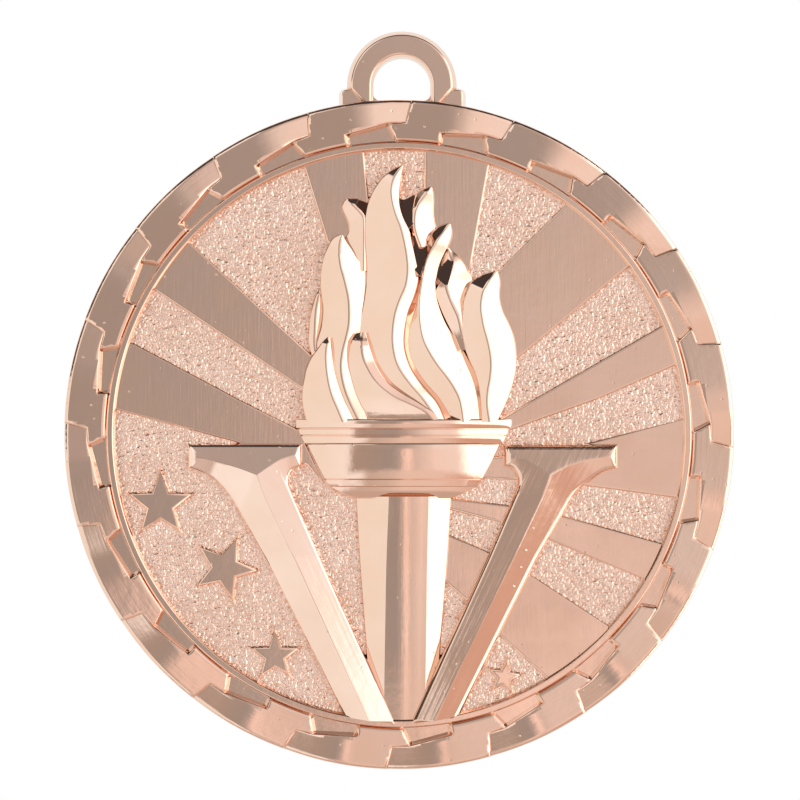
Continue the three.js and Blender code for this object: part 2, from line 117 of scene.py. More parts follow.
def inset(outline, distance):
    """An outline moved inwards by a distance, or outwards if it is negative."""
    turned = list(outline) if signed_area(outline) > 0 else list(outline)[::-1]
    moved = []
    for i, place in enumerate(turned):
        before = Vector(place) - Vector(turned[i - 1])
        after = Vector(turned[(i + 1) % len(turned)]) - Vector(place)
        normals = [Vector((-d.y, d.x)).normalized() for d in (before, after)]
        middle = (normals[0] + normals[1]).normalized()
        reach = distance / max(middle.dot(normals[0]), MITRE)
        moved.append((place[0] + middle.x * reach, place[1] + middle.y * reach))
    return moved


def smooth_step(low, high, value):
    """A smooth rise from 0 at the low value to 1 at the high one."""
    t = min(max((value - low) / (high - low), 0.0), 1.0)
    return t * t * (3 - 2 * t)


# ---- meshes ----


def to_metres(mesh):
    """Turns face places (x, z, height) in millimetres to the row frame in metres."""
    points = np.empty(len(mesh.vertices) * 3)
    mesh.vertices.foreach_get("co", points)
    points = points.reshape(-1, 3) * MM
    mesh.vertices.foreach_set("co", np.column_stack([points[:, 0], -points[:, 2], points[:, 1]]).ravel())
    mesh.update()


def closed_form(points, faces):
    """A closed bmesh, its doubles merged and its faces turned outwards."""
    shape = bmesh.new()
    corners = [shape.verts.new(p) for p in points]
    for face in faces:
        if len(set(face)) > 2:
            shape.faces.new([corners[i] for i in face])
    loose = [v for v in shape.verts if not v.link_faces]
    bmesh.ops.delete(shape, geom=loose, context="VERTS")
    bmesh.ops.remove_doubles(shape, verts=shape.verts, dist=1e-5)
    bmesh.ops.dissolve_degenerate(shape, edges=shape.edges, dist=1e-6)
    bmesh.ops.recalc_face_normals(shape, faces=shape.faces)
    return shape


def join(shapes):
    """One bmesh holding several."""
    whole = bmesh.new()
    for shape in shapes:
        mesh = bpy.data.meshes.new("part")
        shape.to_mesh(mesh)
        whole.from_mesh(mesh)
        bpy.data.meshes.remove(mesh)
        shape.free()
    return whole


def evaluated(thing):
    """The thing's mesh with its modifiers applied, as a plain mesh."""
    graph = bpy.context.evaluated_depsgraph_get()
    return bpy.data.meshes.new_from_object(thing.evaluated_get(graph))


def link(name, mesh):
    """A new object in the scene."""
    thing = bpy.data.objects.new(name, mesh)
    bpy.context.scene.collection.objects.link(thing)
    return thing


SHARP = math.radians(50)        # edges sharper than this aren't shaded smooth
CRISP = math.radians(8)         # the same on forms cut like chiselled letters


def piece(name, shape, material, nodes, sharp=SHARP):
    """A finished piece that rides on the medal and stands for its CAD nodes."""
    for face in shape.faces:
        face.smooth = True
    for edge in shape.edges:
        edge.smooth = edge.calc_face_angle(0.0) < sharp
    mesh = bpy.data.meshes.new(name)
    shape.to_mesh(mesh)
    shape.free()
    to_metres(mesh)
    thing = link(name, mesh)
    weights = thing.modifiers.new("even shading", "WEIGHTED_NORMAL")
    weights.keep_sharp = True
    even = evaluated(thing)
    thing.modifiers.clear()
    thing.data = even
    even.name = name
    bpy.data.meshes.remove(mesh)
    hand_over(thing, material, nodes)


def hand_over(thing, material, nodes):
    """Gives a piece its material and body, and hides its CAD nodes."""
    thing.data.materials.clear()
    thing.data.materials.append(material)
    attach(thing, "root")
    if nodes:
        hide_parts(*nodes)


def walls(size, rings):
    """Faces between rings of corners that follow each other, each size corners long."""
    faces = []
    for ring in range(rings - 1):
        for i in range(size):
            a, b = ring * size + i, ring * size + (i + 1) % size
            faces.append((a, b, b + size, a + size))
    return faces


def loft(sections):
    """A closed form through a row of sections with the same number of points."""
    size, rows = len(sections[0]), len(sections)
    points = [tuple(p) for section in sections for p in section]
    ends = [range(size), range((rows - 1) * size, rows * size)]
    return closed_form(points, walls(size, rows) + ends)


def raised(outline, top, draft=DRAFT, edge=EDGE, foot=BURIED, slope=None):
    """A raised form: a leaning wall, a rounded edge and a top that may slope."""
    rings = [(-draft, foot), (0.0, top - edge)]
    for step in (1, 2, 3):
        turn = math.radians(30 * step)
        rings.append((edge * (1 - math.cos(turn)), top - edge + edge * math.sin(turn)))
    rings.append((1.8 * edge, top))
    sections = []
    for distance, level in rings:
        slopes = slope and level > foot
        sections.append([(x, z, level + (slope(x, z) if slopes else 0.0))
                         for x, z in inset(outline, distance)])
    return loft(sections)


def rounded(section, radii, flat_corner=None):
    """A section line with its inner corners rounded, or cut flat at one of them.

    Points beside every corner hold the flats between them.
    """
    result = [section[0]]
    for i, (before, corner, after) in enumerate(zip(section, section[1:], section[2:])):
        to_before, to_after = before - corner, after - corner
        length_before = max(np.linalg.norm(to_before), 1e-9)
        length_after = max(np.linalg.norm(to_after), 1e-9)
        reach = min(radii[i], 0.3 * length_before, 0.3 * length_after)
        one = corner + to_before * (reach / length_before)
        two = corner + to_after * (reach / length_after)
        hold_one = corner + to_before * (1.6 * reach / length_before)
        hold_two = corner + to_after * (1.6 * reach / length_after)
        keep = 0.0 if i == flat_corner else 0.5
        middle = (1 - keep) * 0.5 * (one + two) + keep * corner
        result += [hold_one, one, middle, two, hold_two]
    result.append(section[-1])
    return result


def turned(profile, steps):
    """A form of revolution about the disc's axis, from (radius, height) pairs on the axis."""
    size = len(profile)
    points, faces = [], []
    for step in range(steps):
        points += [(*clock(360 * step / steps, radius), level) for radius, level in profile]
        for i in range(size - 1):
            a, b = step * size + i, ((step + 1) % steps) * size + i
            faces.append((a, a + 1, b + 1, b))
    return closed_form(points, faces)


# ---- geometry nodes ----


def new_tree(name, **inputs):
    """A geometry node tree with named inputs of the given kinds, and its two end nodes."""
    tree = bpy.data.node_groups.new(name, "GeometryNodeTree")
    for label, kind in {"Geometry": "Geometry", **inputs}.items():
        tree.interface.new_socket(label, in_out="INPUT", socket_type=f"NodeSocket{kind}")
    tree.interface.new_socket("Geometry", in_out="OUTPUT", socket_type="NodeSocketGeometry")
    return tree, tree.nodes.new("NodeGroupInput"), tree.nodes.new("NodeGroupOutput")


def node(tree, kind, inputs=None, **settings):
    """Adds a node; an input is a value or the socket that feeds it."""
    made = tree.nodes.new(kind)
    for key, value in settings.items():
        setattr(made, key, value)
    for key, value in (inputs or {}).items():
        socket = made.inputs[key]
        if isinstance(value, bpy.types.NodeSocket):
            tree.links.new(value, socket)
        else:
            socket.default_value = value
    return made


def combine(tree, operation, one, two):
    """A math node on two values."""
    return node(tree, "ShaderNodeMath", {0: one, 1: two}, operation=operation).outputs[0]


def flattened(tree, place):
    """Places moved onto the plane of the disc's back."""
    split = node(tree, "ShaderNodeSeparateXYZ", {0: place})
    return node(tree, "ShaderNodeCombineXYZ", {"X": split.outputs["X"], "Z": split.outputs["Z"]}).outputs[0]


def length(tree, vector):
    """The length of a vector."""
    return node(tree, "ShaderNodeVectorMath", {0: vector}, operation="LENGTH").outputs["Value"]


def close_tree(tree, geometry, material, end):
    """Realizes the tree's instances, sets their material and hands them out."""
    whole = node(tree, "GeometryNodeRealizeInstances", {"Geometry": geometry})
    painted = node(tree, "GeometryNodeSetMaterial", {"Geometry": whole.outputs[0], "Material": material})
    tree.links.new(painted.outputs[0], end.inputs[0])
    return tree


def run_tree(thing, tree, values):
    """Applies a tree to an object with named input values, and keeps the plain mesh."""
    modifier = thing.modifiers.new(tree.name, "NODES")
    modifier.node_group = tree
    for item in tree.interface.items_tree:
        if item.in_out == "INPUT" and item.name in values:
            modifier[item.identifier] = values[item.name]
    mesh = evaluated(thing)
    thing.modifiers.clear()
    old = thing.data
    thing.data = mesh
    mesh.name = thing.name
    bpy.data.meshes.remove(old)


# ---- plated metal ----

PLATING = (0.95, 0.70, 0.57)    # rose copper, seen straight on
WORN = (0.93, 0.66, 0.52)       # the same where it is a little redder
FRESH = (1.0, 0.77, 0.655)      # the same where it is paler, as in the ground
PAINTED_HOLLOW_SHADE = (0.86, 0.5, 0.37)      # the same deep in the stipple, darker and redder: painted shade

# patterns in the plating, in cycles per millimetre, and sizes in millimetres
CLOUDS, SKIN, PITS = 0.25, 1.1, 0.9
PIT_SIZE, PIT_DEPTH = 0.09, 0.012


def shader_tree(name):
    """A new metal with its node tree, its surface and its object places."""
    material = bpy.data.materials.new(name)
    material.use_nodes = True
    tree = material.node_tree
    tree.nodes.clear()
    output = tree.nodes.new("ShaderNodeOutputMaterial")
    surface = tree.nodes.new("ShaderNodeBsdfPrincipled")
    surface.inputs["Metallic"].default_value = 1.0
    surface.inputs["IOR"].default_value = 1.5
    tree.links.new(surface.outputs["BSDF"], output.inputs["Surface"])
    place = node(tree, "ShaderNodeTexCoord").outputs["Object"]
    return material, tree, surface, place


def scaled(tree, place, scale, turn=0.0):
    """Object places turned about Y, then stretched to cycles per millimetre along X, Y and Z."""
    if turn:
        spun = node(tree, "ShaderNodeVectorRotate", {"Vector": place, "Angle": math.radians(turn)},
                    rotation_type="Y_AXIS")
        place = spun.outputs["Vector"]
    per_metre = tuple(s / MM for s in scale)
    mapping = node(tree, "ShaderNodeMapping", {"Vector": place, "Scale": per_metre})
    return mapping.outputs["Vector"]


def round_the_disc(tree, place, across, along):
    """Places that change fast across the border and slowly along it."""
    flat = flattened(tree, place)
    heading = node(tree, "ShaderNodeVectorMath", {0: flat}, operation="NORMALIZE").outputs["Vector"]
    spread_out = node(tree, "ShaderNodeVectorMath", {0: heading}, operation="SCALE")
    spread_out.inputs["Scale"].default_value = along
    rings = combine(tree, "MULTIPLY", length(tree, flat), across / MM)
    lift = node(tree, "ShaderNodeCombineXYZ", {"Y": rings}).outputs[0]
    return node(tree, "ShaderNodeVectorMath", {0: spread_out.outputs["Vector"], 1: lift},
                operation="ADD").outputs["Vector"]


def grain(tree, vector, detail=2.0, roughness=0.5):
    """Noise at stretched places, as a value about a half."""
    return node(tree, "ShaderNodeTexNoise", {"Vector": vector, "Scale": 1.0, "Detail": detail,
                                             "Roughness": roughness}).outputs["Fac"]


def spread(tree, value, low, high, to_low, to_high):
    """Maps a value from one range to another, held at its ends."""
    ranged = node(tree, "ShaderNodeMapRange", {"Value": value, "From Min": low, "From Max": high,
                                               "To Min": to_low, "To Max": to_high})
    return ranged.outputs["Result"]


def tint(tree, value, one, two):
    """A colour between two, by a value from 0 to 1."""
    mixed = node(tree, "ShaderNodeMix", data_type="RGBA")
    tree.links.new(value, mixed.inputs["Factor"])
    mixed.inputs["A"].default_value = (*one, 1.0)
    mixed.inputs["B"].default_value = (*two, 1.0)
    return mixed.outputs["Result"]


def relief_bump(tree, surface, height, distance):
    """Feeds a height in millimetres of relief to the surface."""
    bump = node(tree, "ShaderNodeBump", {"Height": height, "Distance": distance * MM, "Strength": 1.0})
    tree.links.new(bump.outputs["Normal"], surface.inputs["Normal"])


def plated_metal(name, lines_at, line_depth, roughness=(0.07, 0.16), skin_depth=0.008, line_haze=0.06,
                 tones=(PLATING, WORN), hollow_shade=None):
    """Plating with fine lines, small pits, a slight waviness and cloudy wear.

    lines_at(tree, place) gives the stretched places of the fine lines; the colour after
    tones is painted shade, mixed in below the ground's middle height.
    """
    material, tree, surface, place = shader_tree(name)
    cloud = grain(tree, scaled(tree, place, (CLOUDS, CLOUDS, CLOUDS)), 3.0)
    colour = tint(tree, spread(tree, cloud, 0.35, 0.7, 0.0, 1.0), *tones)
    # painted shade: a darker, redder colour where the ground sinks below its middle height
    if hollow_shade:
        depth = node(tree, "ShaderNodeSeparateXYZ", {0: place}).outputs["Y"]
        sunk = spread(tree, depth, -(GROUND - 0.005) * MM, -(GROUND - 0.05) * MM, 0.0, 1.0)
        mixed = node(tree, "ShaderNodeMix", {"Factor": sunk, "B": (*hollow_shade, 1.0)}, data_type="RGBA")
        tree.links.new(colour, mixed.inputs["A"])
        colour = mixed.outputs["Result"]
    tree.links.new(colour, surface.inputs["Base Color"])
    lines = grain(tree, lines_at(tree, place), 3.0, 0.6)
    haze = combine(tree, "ADD", spread(tree, cloud, 0.3, 0.7, roughness[0], roughness[1]),
                   spread(tree, lines, 0.55, 0.75, 0.0, line_haze))
    tree.links.new(haze, surface.inputs["Roughness"])
    skin = grain(tree, scaled(tree, place, (SKIN, SKIN, SKIN)), 2.0)
    spots = scaled(tree, place, (PITS, PITS, PITS))
    pits = node(tree, "ShaderNodeTexVoronoi", {"Vector": spots, "Scale": 1.0})
    pit = spread(tree, pits.outputs["Distance"], 0.0, PIT_SIZE, 1.0, 0.0)
    height = combine(tree, "ADD", combine(tree, "MULTIPLY", lines, line_depth),
                     combine(tree, "MULTIPLY", skin, skin_depth))
    height = combine(tree, "SUBTRACT", height, combine(tree, "MULTIPLY", pit, PIT_DEPTH))
    relief_bump(tree, surface, height, 1.0)
    return material


def fine_lines(across, along, turn=0.0):
    """Fine lines along Z, or slanted over the face, by their cycles per millimetre."""
    return lambda tree, place: scaled(tree, place, (across, across, along), turn)


def circling(tree, place):
    """Fine lines that run round the border."""
    return round_the_disc(tree, place, 4.5, 5.0)


ARM_LEAN = 25.0                 # degrees that the V's arms lean

POLISHED = plated_metal("polished_plating", fine_lines(0.8, 0.8), 0.002, (0.04, 0.10), 0.005, 0.03)
LOOP_METAL = plated_metal("loop_plating", fine_lines(3.0, 3.0), 0.001, (0.08, 0.13), 0.0012, 0.03)
STEM_METAL = plated_metal("drawn_plating", fine_lines(4.5, 0.12), 0.002, (0.04, 0.10), 0.004)
LEFT_ARM_METAL = plated_metal("drawn_plating_left", fine_lines(3.5, 0.10, ARM_LEAN), 0.002, (0.05, 0.10),
                              0.003, tones=(FRESH, PLATING))
RIGHT_ARM_METAL = plated_metal("drawn_plating_right", fine_lines(3.2, 0.07, -ARM_LEAN), 0.014)
BRUSHED = plated_metal("brushed_plating", fine_lines(6.0, 0.35), 0.003, (0.09, 0.16), 0.004, 0.03)
BORDER = plated_metal("border_plating", circling, 0.003, (0.06, 0.12), 0.005, 0.04)
# the ground's plating has painted shade deep in its stipple
GROUND_METAL = plated_metal("stippled_plating", fine_lines(6.5, 6.5), 0.035, (0.12, 0.2),
                            tones=(FRESH, PLATING), hollow_shade=PAINTED_HOLLOW_SHADE)
BACK_METAL = plated_metal("cast_back_plating", fine_lines(2.0, 2.0), 0.01, (0.25, 0.35))

# ---- disc ----


LEDGE_START = 22.2              # radius where the ledge under the plates starts
BACK_ROUND = 0.35               # rounding of the disc's back edge


def planchet():
    """The disc's body, with its flat back, and the ledge under the border plates."""
    rim, seat, floor_of_disc = DISC_RADIUS, LEDGE - 0.3, GROUND - 0.06
    profile = [(0.0, floor_of_disc), (LEDGE_START, floor_of_disc), (LEDGE_START, seat), (rim, seat),
               (rim, BACK_ROUND + 0.03)]
    for step in range(1, 6):
        x, z = clock(90 - 18 * step, BACK_ROUND)
        profile.append((rim - BACK_ROUND + x, BACK_ROUND - z))
    profile += [(rim - BACK_ROUND - 0.1, 0.0), (rim - 2.0, 0.0), (0.0, 0.0)]
    piece("disc_body", turned(profile, 360), BACK_METAL, ["planchet"])
    ledge = [(LEDGE_START, seat), (LEDGE_START, LEDGE + 0.02), (rim - 0.3, LEDGE + 0.02),
             (rim - 0.02, LEDGE - 0.02), (rim, LEDGE - 0.1), (rim, seat), (LEDGE_START, seat)]
    piece("border_ledge", turned(ledge, 360), BORDER, ["planchet"])


STIPPLE_GRAIN = 8.2             # cycles of the stipple per millimetre
STIPPLE_RELIEF = 0.33           # its height, for the whole range of its noise
STIPPLE_SEED = 3.0
STIPPLE_SPACING = 0.072         # between the corners of the ground's grid
STRIP_SEAMS = (-11.0, 0.35, 11.0)
GROUND_RADIUS = RING_RADIUS - 0.55      # the ground ends here, under the bead ring
GROUND_DEPTH = 0.3              # how thick the ground's strips are


def ground_tree():
    """The stippled ground: a fine grid cut to the disc and raised by fixed noise."""
    tree, start, end = new_tree("stippled ground", Width="Float", Depth="Float", Columns="Int", Rows="Int",
                                Middle="Vector", Radius="Float", Grain="Float", Relief="Float",
                                Seed="Float", Material="Material")
    get = start.outputs
    grid = node(tree, "GeometryNodeMeshGrid", {"Size X": get["Width"], "Size Y": get["Depth"],
                                               "Vertices X": get["Columns"], "Vertices Y": get["Rows"]})
    upright = node(tree, "GeometryNodeTransform", {"Geometry": grid.outputs["Mesh"],
                                                   "Translation": get["Middle"],
                                                   "Rotation": (math.pi / 2, 0.0, 0.0)})
    position = node(tree, "GeometryNodeInputPosition").outputs[0]
    reach = length(tree, flattened(tree, position))
    outside = node(tree, "FunctionNodeCompare", {0: reach, 1: get["Radius"]},
                   operation="GREATER_THAN", data_type="FLOAT")
    kept = node(tree, "GeometryNodeDeleteGeometry", {"Geometry": upright.outputs[0],
                                                     "Selection": outside.outputs[0]}, domain="POINT")
    noise = node(tree, "ShaderNodeTexNoise", {"Vector": position, "W": get["Seed"], "Scale": get["Grain"],
                                              "Detail": 1.5, "Roughness": 0.6}, noise_dimensions="4D")
    centred = combine(tree, "SUBTRACT", noise.outputs["Fac"], 0.5)
    rise = combine(tree, "MULTIPLY", centred, get["Relief"])
    towards = node(tree, "ShaderNodeCombineXYZ", {"Y": rise}).outputs[0]
    moved = node(tree, "GeometryNodeSetPosition", {"Geometry": kept.outputs[0], "Offset": towards})
    return close_tree(tree, moved.outputs[0], get["Material"], end)


def close_below(mesh, depth):
    """Closes an open sheet with a wall and a flat face below it, both flat shaded."""
    shape = bmesh.new()
    shape.from_mesh(mesh)
    for face in shape.faces:
        face.smooth = True
    border = [e for e in shape.edges if e.is_boundary]
    for edge in border:
        edge.smooth = False
    grown = bmesh.ops.extrude_edge_only(shape, edges=border)["geom"]
    for part in grown:
        if isinstance(part, bmesh.types.BMVert):
            part.co.y = depth
        if isinstance(part, bmesh.types.BMFace):
            part.smooth = False
    rim = [g for g in grown if isinstance(g, bmesh.types.BMEdge) and g.is_boundary]
    for made in bmesh.ops.contextual_create(shape, geom=rim)["faces"]:
        made.smooth = False
    bmesh.ops.recalc_face_normals(shape, faces=shape.faces)
    shape.to_mesh(mesh)
    shape.free()


def ground():
    """The ground in strips side by side, each a fine grid of its own."""
    tree = ground_tree()
    radius = GROUND_RADIUS
    seams = [-radius, *STRIP_SEAMS, radius]
    for i, (low, high) in enumerate(zip(seams, seams[1:])):
        thing = link(f"ground_{i + 1}", bpy.data.meshes.new(f"ground_{i + 1}"))
        nearest = min(abs(low), abs(high)) if low * high > 0 else 0.0
        width, depth = high - low, 2 * math.sqrt(radius ** 2 - nearest ** 2)
        run_tree(thing, tree, {
            "Width": width * MM, "Depth": depth * MM,
            "Columns": round(width / STIPPLE_SPACING), "Rows": round(depth / STIPPLE_SPACING),
            "Middle": ((low + high) / 2 * MM, -GROUND * MM, 0.0), "Radius": radius * MM,
            "Grain": STIPPLE_GRAIN / MM, "Relief": STIPPLE_RELIEF * MM, "Seed": STIPPLE_SEED,
            "Material": GROUND_METAL})
        close_below(thing.data, -(GROUND - GROUND_DEPTH) * MM)
        hand_over(thing, GROUND_METAL, ["planchet"])


RING_WIDTH = 0.75


def bead_ring():
    """The bead ring: one turned profile with drafted walls and rounded edges."""
    outer, inner = RING_RADIUS, RING_RADIUS - RING_WIDTH
    top, lean, soft, shelf = RING_TOP, 0.15, 0.04, RING_TOP - 0.2
    profile = [(inner - 0.02, BURIED), (inner + lean - 0.02, top - soft), (inner + lean + soft, top),
               (inner + lean + 2 * soft, top), (outer - lean - 2 * soft, top), (outer - lean - soft, top),
               (outer - lean + 0.02, top - soft), (outer - 0.06, shelf), (outer + 0.06, shelf),
               (outer + 0.06, BURIED), (inner - 0.02, BURIED)]
    piece("ring_of_beading", turned(profile, 360), BORDER, ["bead_ring"])


# ---- border plates ----

PLATE_COUNT = 20
PLATE_START = 2.2
START_TILT = 2.5                # degrees a plate tilts back at its start
END_TILT = 7.6                  # degrees it tilts down at its end
TILT_SPAN = (5.0, 14.5)         # where along the plate the tilt changes
RIM_ROUNDING = 0.3              # how far the outer edge of the border is rounded off
RIM_FALL = 0.28                 # how much lower the border is at its rim
TENTHS = (-60, 220)             # tenths of a degree past its start that a plate's profile spans
PLATE_MIDDLE = 24.4             # radius on which the plates' slopes are measured


def plate_profile():
    """Heights every tenth of a degree along a plate, from its highest place down."""
    step = math.radians(0.1) * PLATE_MIDDLE
    tilts = [END_TILT * smooth_step(*TILT_SPAN, i / 10) - START_TILT * (1 - smooth_step(*TILT_SPAN, i / 10))
             for i in range(*TENTHS)]
    heights = -np.cumsum(np.tan(np.radians(tilts))) * step
    return PLATE_TOP - 0.02 + heights - heights.max()


PLATE_PROFILE = plate_profile()


def plate_height(along, radius):
    """A plate's height at an angle past its start, rounded off at the rim of the disc."""
    past_rim = max(radius - (DISC_RADIUS - RIM_ROUNDING), 0.0) / RIM_ROUNDING
    rim = RIM_FALL * (1 - math.sqrt(max(1 - past_rim ** 2, 0.0)))
    return float(np.interp(along * 10 - TENTHS[0], np.arange(len(PLATE_PROFILE)), PLATE_PROFILE)) - rim


def plate_shape():
    """The first plate: a slanted start, a wedge-shaped notch, and an end under the next."""
    start = PLATE_START
    end, notch = start + 19.5, start + 5.8
    outer, middle, inner = DISC_RADIUS - 0.02, 23.65, RING_RADIUS + 0.02
    outline = arc(outer, end, start, 40)
    outline += curve([clock(start, outer), clock(start - 1, middle)], 5).tolist()[1:]
    outline += curve([clock(start - 1, middle), clock(start - 4.2, 23.58)], 5).tolist()[1:]
    outline += curve([clock(start - 4.2, 23.58), clock(start - 2.7, inner)], 6).tolist()[1:]
    outline += arc(inner, start - 2.7, notch, 18)[1:]
    outline += curve([clock(notch, inner), clock(start + 5.6, 23.06)], 4).tolist()[1:]
    outline += curve([clock(start + 5.6, 23.06), clock(start + 13.8, 23.6)], 18).tolist()[1:]
    outline += arc(23.62, start + 14.5, end, 8)
    return filled([tuple(p) for p in outline], start)


def filled(outline, start):
    """A plate's closed form over its outline, its top bent along the border."""
    wall, soft = 0.25, 0.06
    rings = [(-wall, None), (0.0, -soft), (0.3 * soft, -0.3 * soft), (soft, 0.0)]
    count = len(outline)

    def held(x, z):
        """A place kept inside the disc's rim."""
        radius = math.hypot(x, z)
        scale = min(1.0, (DISC_RADIUS - 0.02) / radius)
        return x * scale, z * scale

    def level(x, z):
        """The height of the plate's top at a place."""
        along = (math.degrees(math.atan2(x, z)) - start + 90) % 360 - 90
        return plate_height(along, math.hypot(x, z))

    points = []
    for distance, drop in rings:
        for x, z in inset(outline, distance):
            x, z = held(x, z)
            points.append((x, z, LEDGE - 0.02 if drop is None else level(x, z) + drop))
    faces = walls(count, len(rings)) + [range(count)]
    last = [held(x, z) for x, z in inset(outline, rings[-1][0])]
    radii = [22.6, 22.9, 23.2, 23.5, 23.8, 24.1, 24.4, 24.7, 25.0, 25.1, 25.18, 25.25, 25.31]
    inside = [clock(start + along, radius) for along in np.arange(-3.9, 20, 0.6) for radius in radii]
    flat = [Vector(p) for p in last] + [Vector(p) for p in inside]
    made, _, triangles, _, _, _ = delaunay_2d_cdt(flat, [], [list(range(count))], 1, 1e-6)
    offset = len(points)
    points += [(place.x, place.y, level(place.x, place.y)) for place in made]
    faces += [tuple(offset + i for i in triangle) for triangle in triangles]
    return closed_form(points, faces)


def border_tree():
    """Copies a plate round the disc's axis, each one a pitch further on."""
    tree, start, end = new_tree("plates round the border", Count="Int", Pitch="Float", Material="Material")
    get = start.outputs
    points = node(tree, "GeometryNodePoints", {"Count": get["Count"]})
    index = node(tree, "GeometryNodeInputIndex").outputs[0]
    turn = combine(tree, "MULTIPLY", index, get["Pitch"])
    angles = node(tree, "ShaderNodeCombineXYZ", {"Y": turn}).outputs[0]
    rotation = node(tree, "FunctionNodeEulerToRotation", {0: angles}).outputs[0]
    copies = node(tree, "GeometryNodeInstanceOnPoints", {"Points": points.outputs[0],
                                                         "Instance": get["Geometry"],
                                                         "Rotation": rotation})
    return close_tree(tree, copies.outputs[0], get["Material"], end)


def border():
    """All border plates, as one run of overlapping plates."""
    shape = plate_shape()
    mesh = bpy.data.meshes.new("border_plates")
    shape.to_mesh(mesh)
    shape.free()
    to_metres(mesh)
    mesh.shade_smooth()
    thing = link("border_plates", mesh)
    run_tree(thing, border_tree(), {"Count": PLATE_COUNT, "Pitch": math.tau / PLATE_COUNT,
                                    "Material": BORDER})
    nodes = [f"border_plate_{i + 1:02d}" for i in range(PLATE_COUNT)]
    hand_over(thing, BORDER, nodes)


# ---- rays and stars ----

RAYS = [
    [(-7.12, 20.07), (-5.43, 14.6), (-3.6, 13.5), (-2.2, 16.5), (-2.65, 21.34)],
    [(1.93, 21.34), (1.88, 17.2), (2.6, 14.0), (5.45, 12.0), (5.54, 13.24), (6.81, 20.24)],
    [(12.74, 17.56), (7.0, 11.85), (7.2, 8.0), (8.2, 5.1), (8.95, 5.71), (17.5, 12.78)],
    [(20.13, 8.35), (7.6, 1.15), (7.9, 0.15), (15.2, 2.75), (21.05, 5.3)],
    [(21.95, 1.24), (14.22, -0.69), (6.9, -1.75), (6.2, -3.35), (8.8, -3.42), (14.41, -3.91),
     (21.3, -4.83)],
    [(20.11, -8.32), (12.57, -6.21), (8.0, -5.35), (3.6, -4.8), (3.6, -5.62), (7.6, -6.65),
     (11.56, -8.05), (18.82, -11.08)],
    [(16.15, -14.67), (10.09, -10.71), (6.5, -8.8), (3.4, -7.45), (3.0, -10.75), (4.95, -12.45),
     (7.7, -15.31), (11.37, -18.63)],
    [(-15.69, 14.43), (-5.7, 5.15), (-6.3, 3.0), (-7.47, 3.57), (-18.41, 10.89)],
    [(-20.05, 6.87), (-12.07, 2.62), (-7.6, 0.35), (-5.7, -3.75), (-7.0, -2.3), (-12.56, -0.51),
     (-21.36, 1.87)],
]
REACHING_INSIDE = (4, 5, 6)     # rays that are seen again between the stem and the V
LOW_EDGE = 0.1                  # rounding of the edges of rays and stars
RAY_END = RING_RADIUS - 0.45    # rays end on this radius, under the bead ring


def rays():
    """Smooth rays, each a low wedge whose outer end runs under the bead ring."""
    for i, corners in enumerate(RAYS):
        first, last = corners[0], corners[-1]
        angles = [math.degrees(math.atan2(x, z)) for x, z in (last, first)]
        span = (angles[1] - angles[0] + 180) % 360 - 180
        rim = arc(RAY_END, angles[0], angles[0] + span, 6)
        nodes = [f"ray_{i + 1}"]
        if i in REACHING_INSIDE:
            nodes.append(f"ray_inner_{REACHING_INSIDE.index(i) + 1}")
        shape = raised(corners + rim, RAY_TOP, 0.07, LOW_EDGE, GROUND - 0.1)
        piece(f"sun_ray_{i + 1}", shape, BRUSHED, nodes)


STARS = [((-18.1, -5.3), 2.68, 0), ((-13.2, -10.15), 2.65, 22), ((-9.4, -16.8), 2.05, 0),
         ((8.0, -18.4), 1.45, 10)]
STAR_WAIST = 0.42               # radius of a star's inner corners, as a part of its points'


def stars():
    """Five-pointed stars with flat tops, from centre, radius and turn."""
    for i, (centre, radius, turn) in enumerate(STARS):
        outline = []
        for k in range(10):
            reach = (radius - 0.14) * (STAR_WAIST if k % 2 else 1.0)
            x, z = clock(turn + 36 * k, reach)
            outline.append((centre[0] + x, centre[1] + z))
        shape = raised(outline, STAR_TOP, DRAFT, LOW_EDGE)
        piece(f"raised_star_{i + 1}", shape, POLISHED, [f"star_{i + 1}"])


# ---- the V ----

# An arm's lines start at its head, on the side that they are named after. Its heights are
# those of its edges in front of the ground. Its side edges reach their own height after
# "fallen_by" places, and its crest settles after "settled_by" places below the head.
LEFT_ARM = {
    "heights": {"left": 0.85, "top": 1.12, "right": 1.12},
    "slant": 0.1,
    "fallen_by": 6,
    "head_rise": 1.02,
    "settled_by": 3,
    "top": [(-15.95, -0.78), (-7.45, -0.78)],
    "ridge_left": [(-15.4, -1.68), (-14.0, -2.02), (-12.3, -2.5), (-10.78, -3.05)],
    "ridge_right": [(-10.78, -3.05), (-9.9, -2.45), (-9.0, -1.9), (-8.2, -1.62), (-7.85, -1.56)],
    "crest": [(-10.78, -3.05), (-10.45, -4.0), (-9.98, -5.2), (-7.9, -9.45), (-2.3, -21.75)],
    "left": [(-15.95, -2.45), (-14.9, -2.85), (-13.9, -3.5), (-13.1, -4.3), (-12.45, -5.25), (-10.06, -9.45),
             (-3.98, -21.6)],
    "right": [(-7.45, -2.35), (-8.0, -2.58), (-8.35, -3.1), (-8.38, -3.7), (-8.1, -4.5), (-5.95, -9.45),
              (-0.35, -21.9)],
}
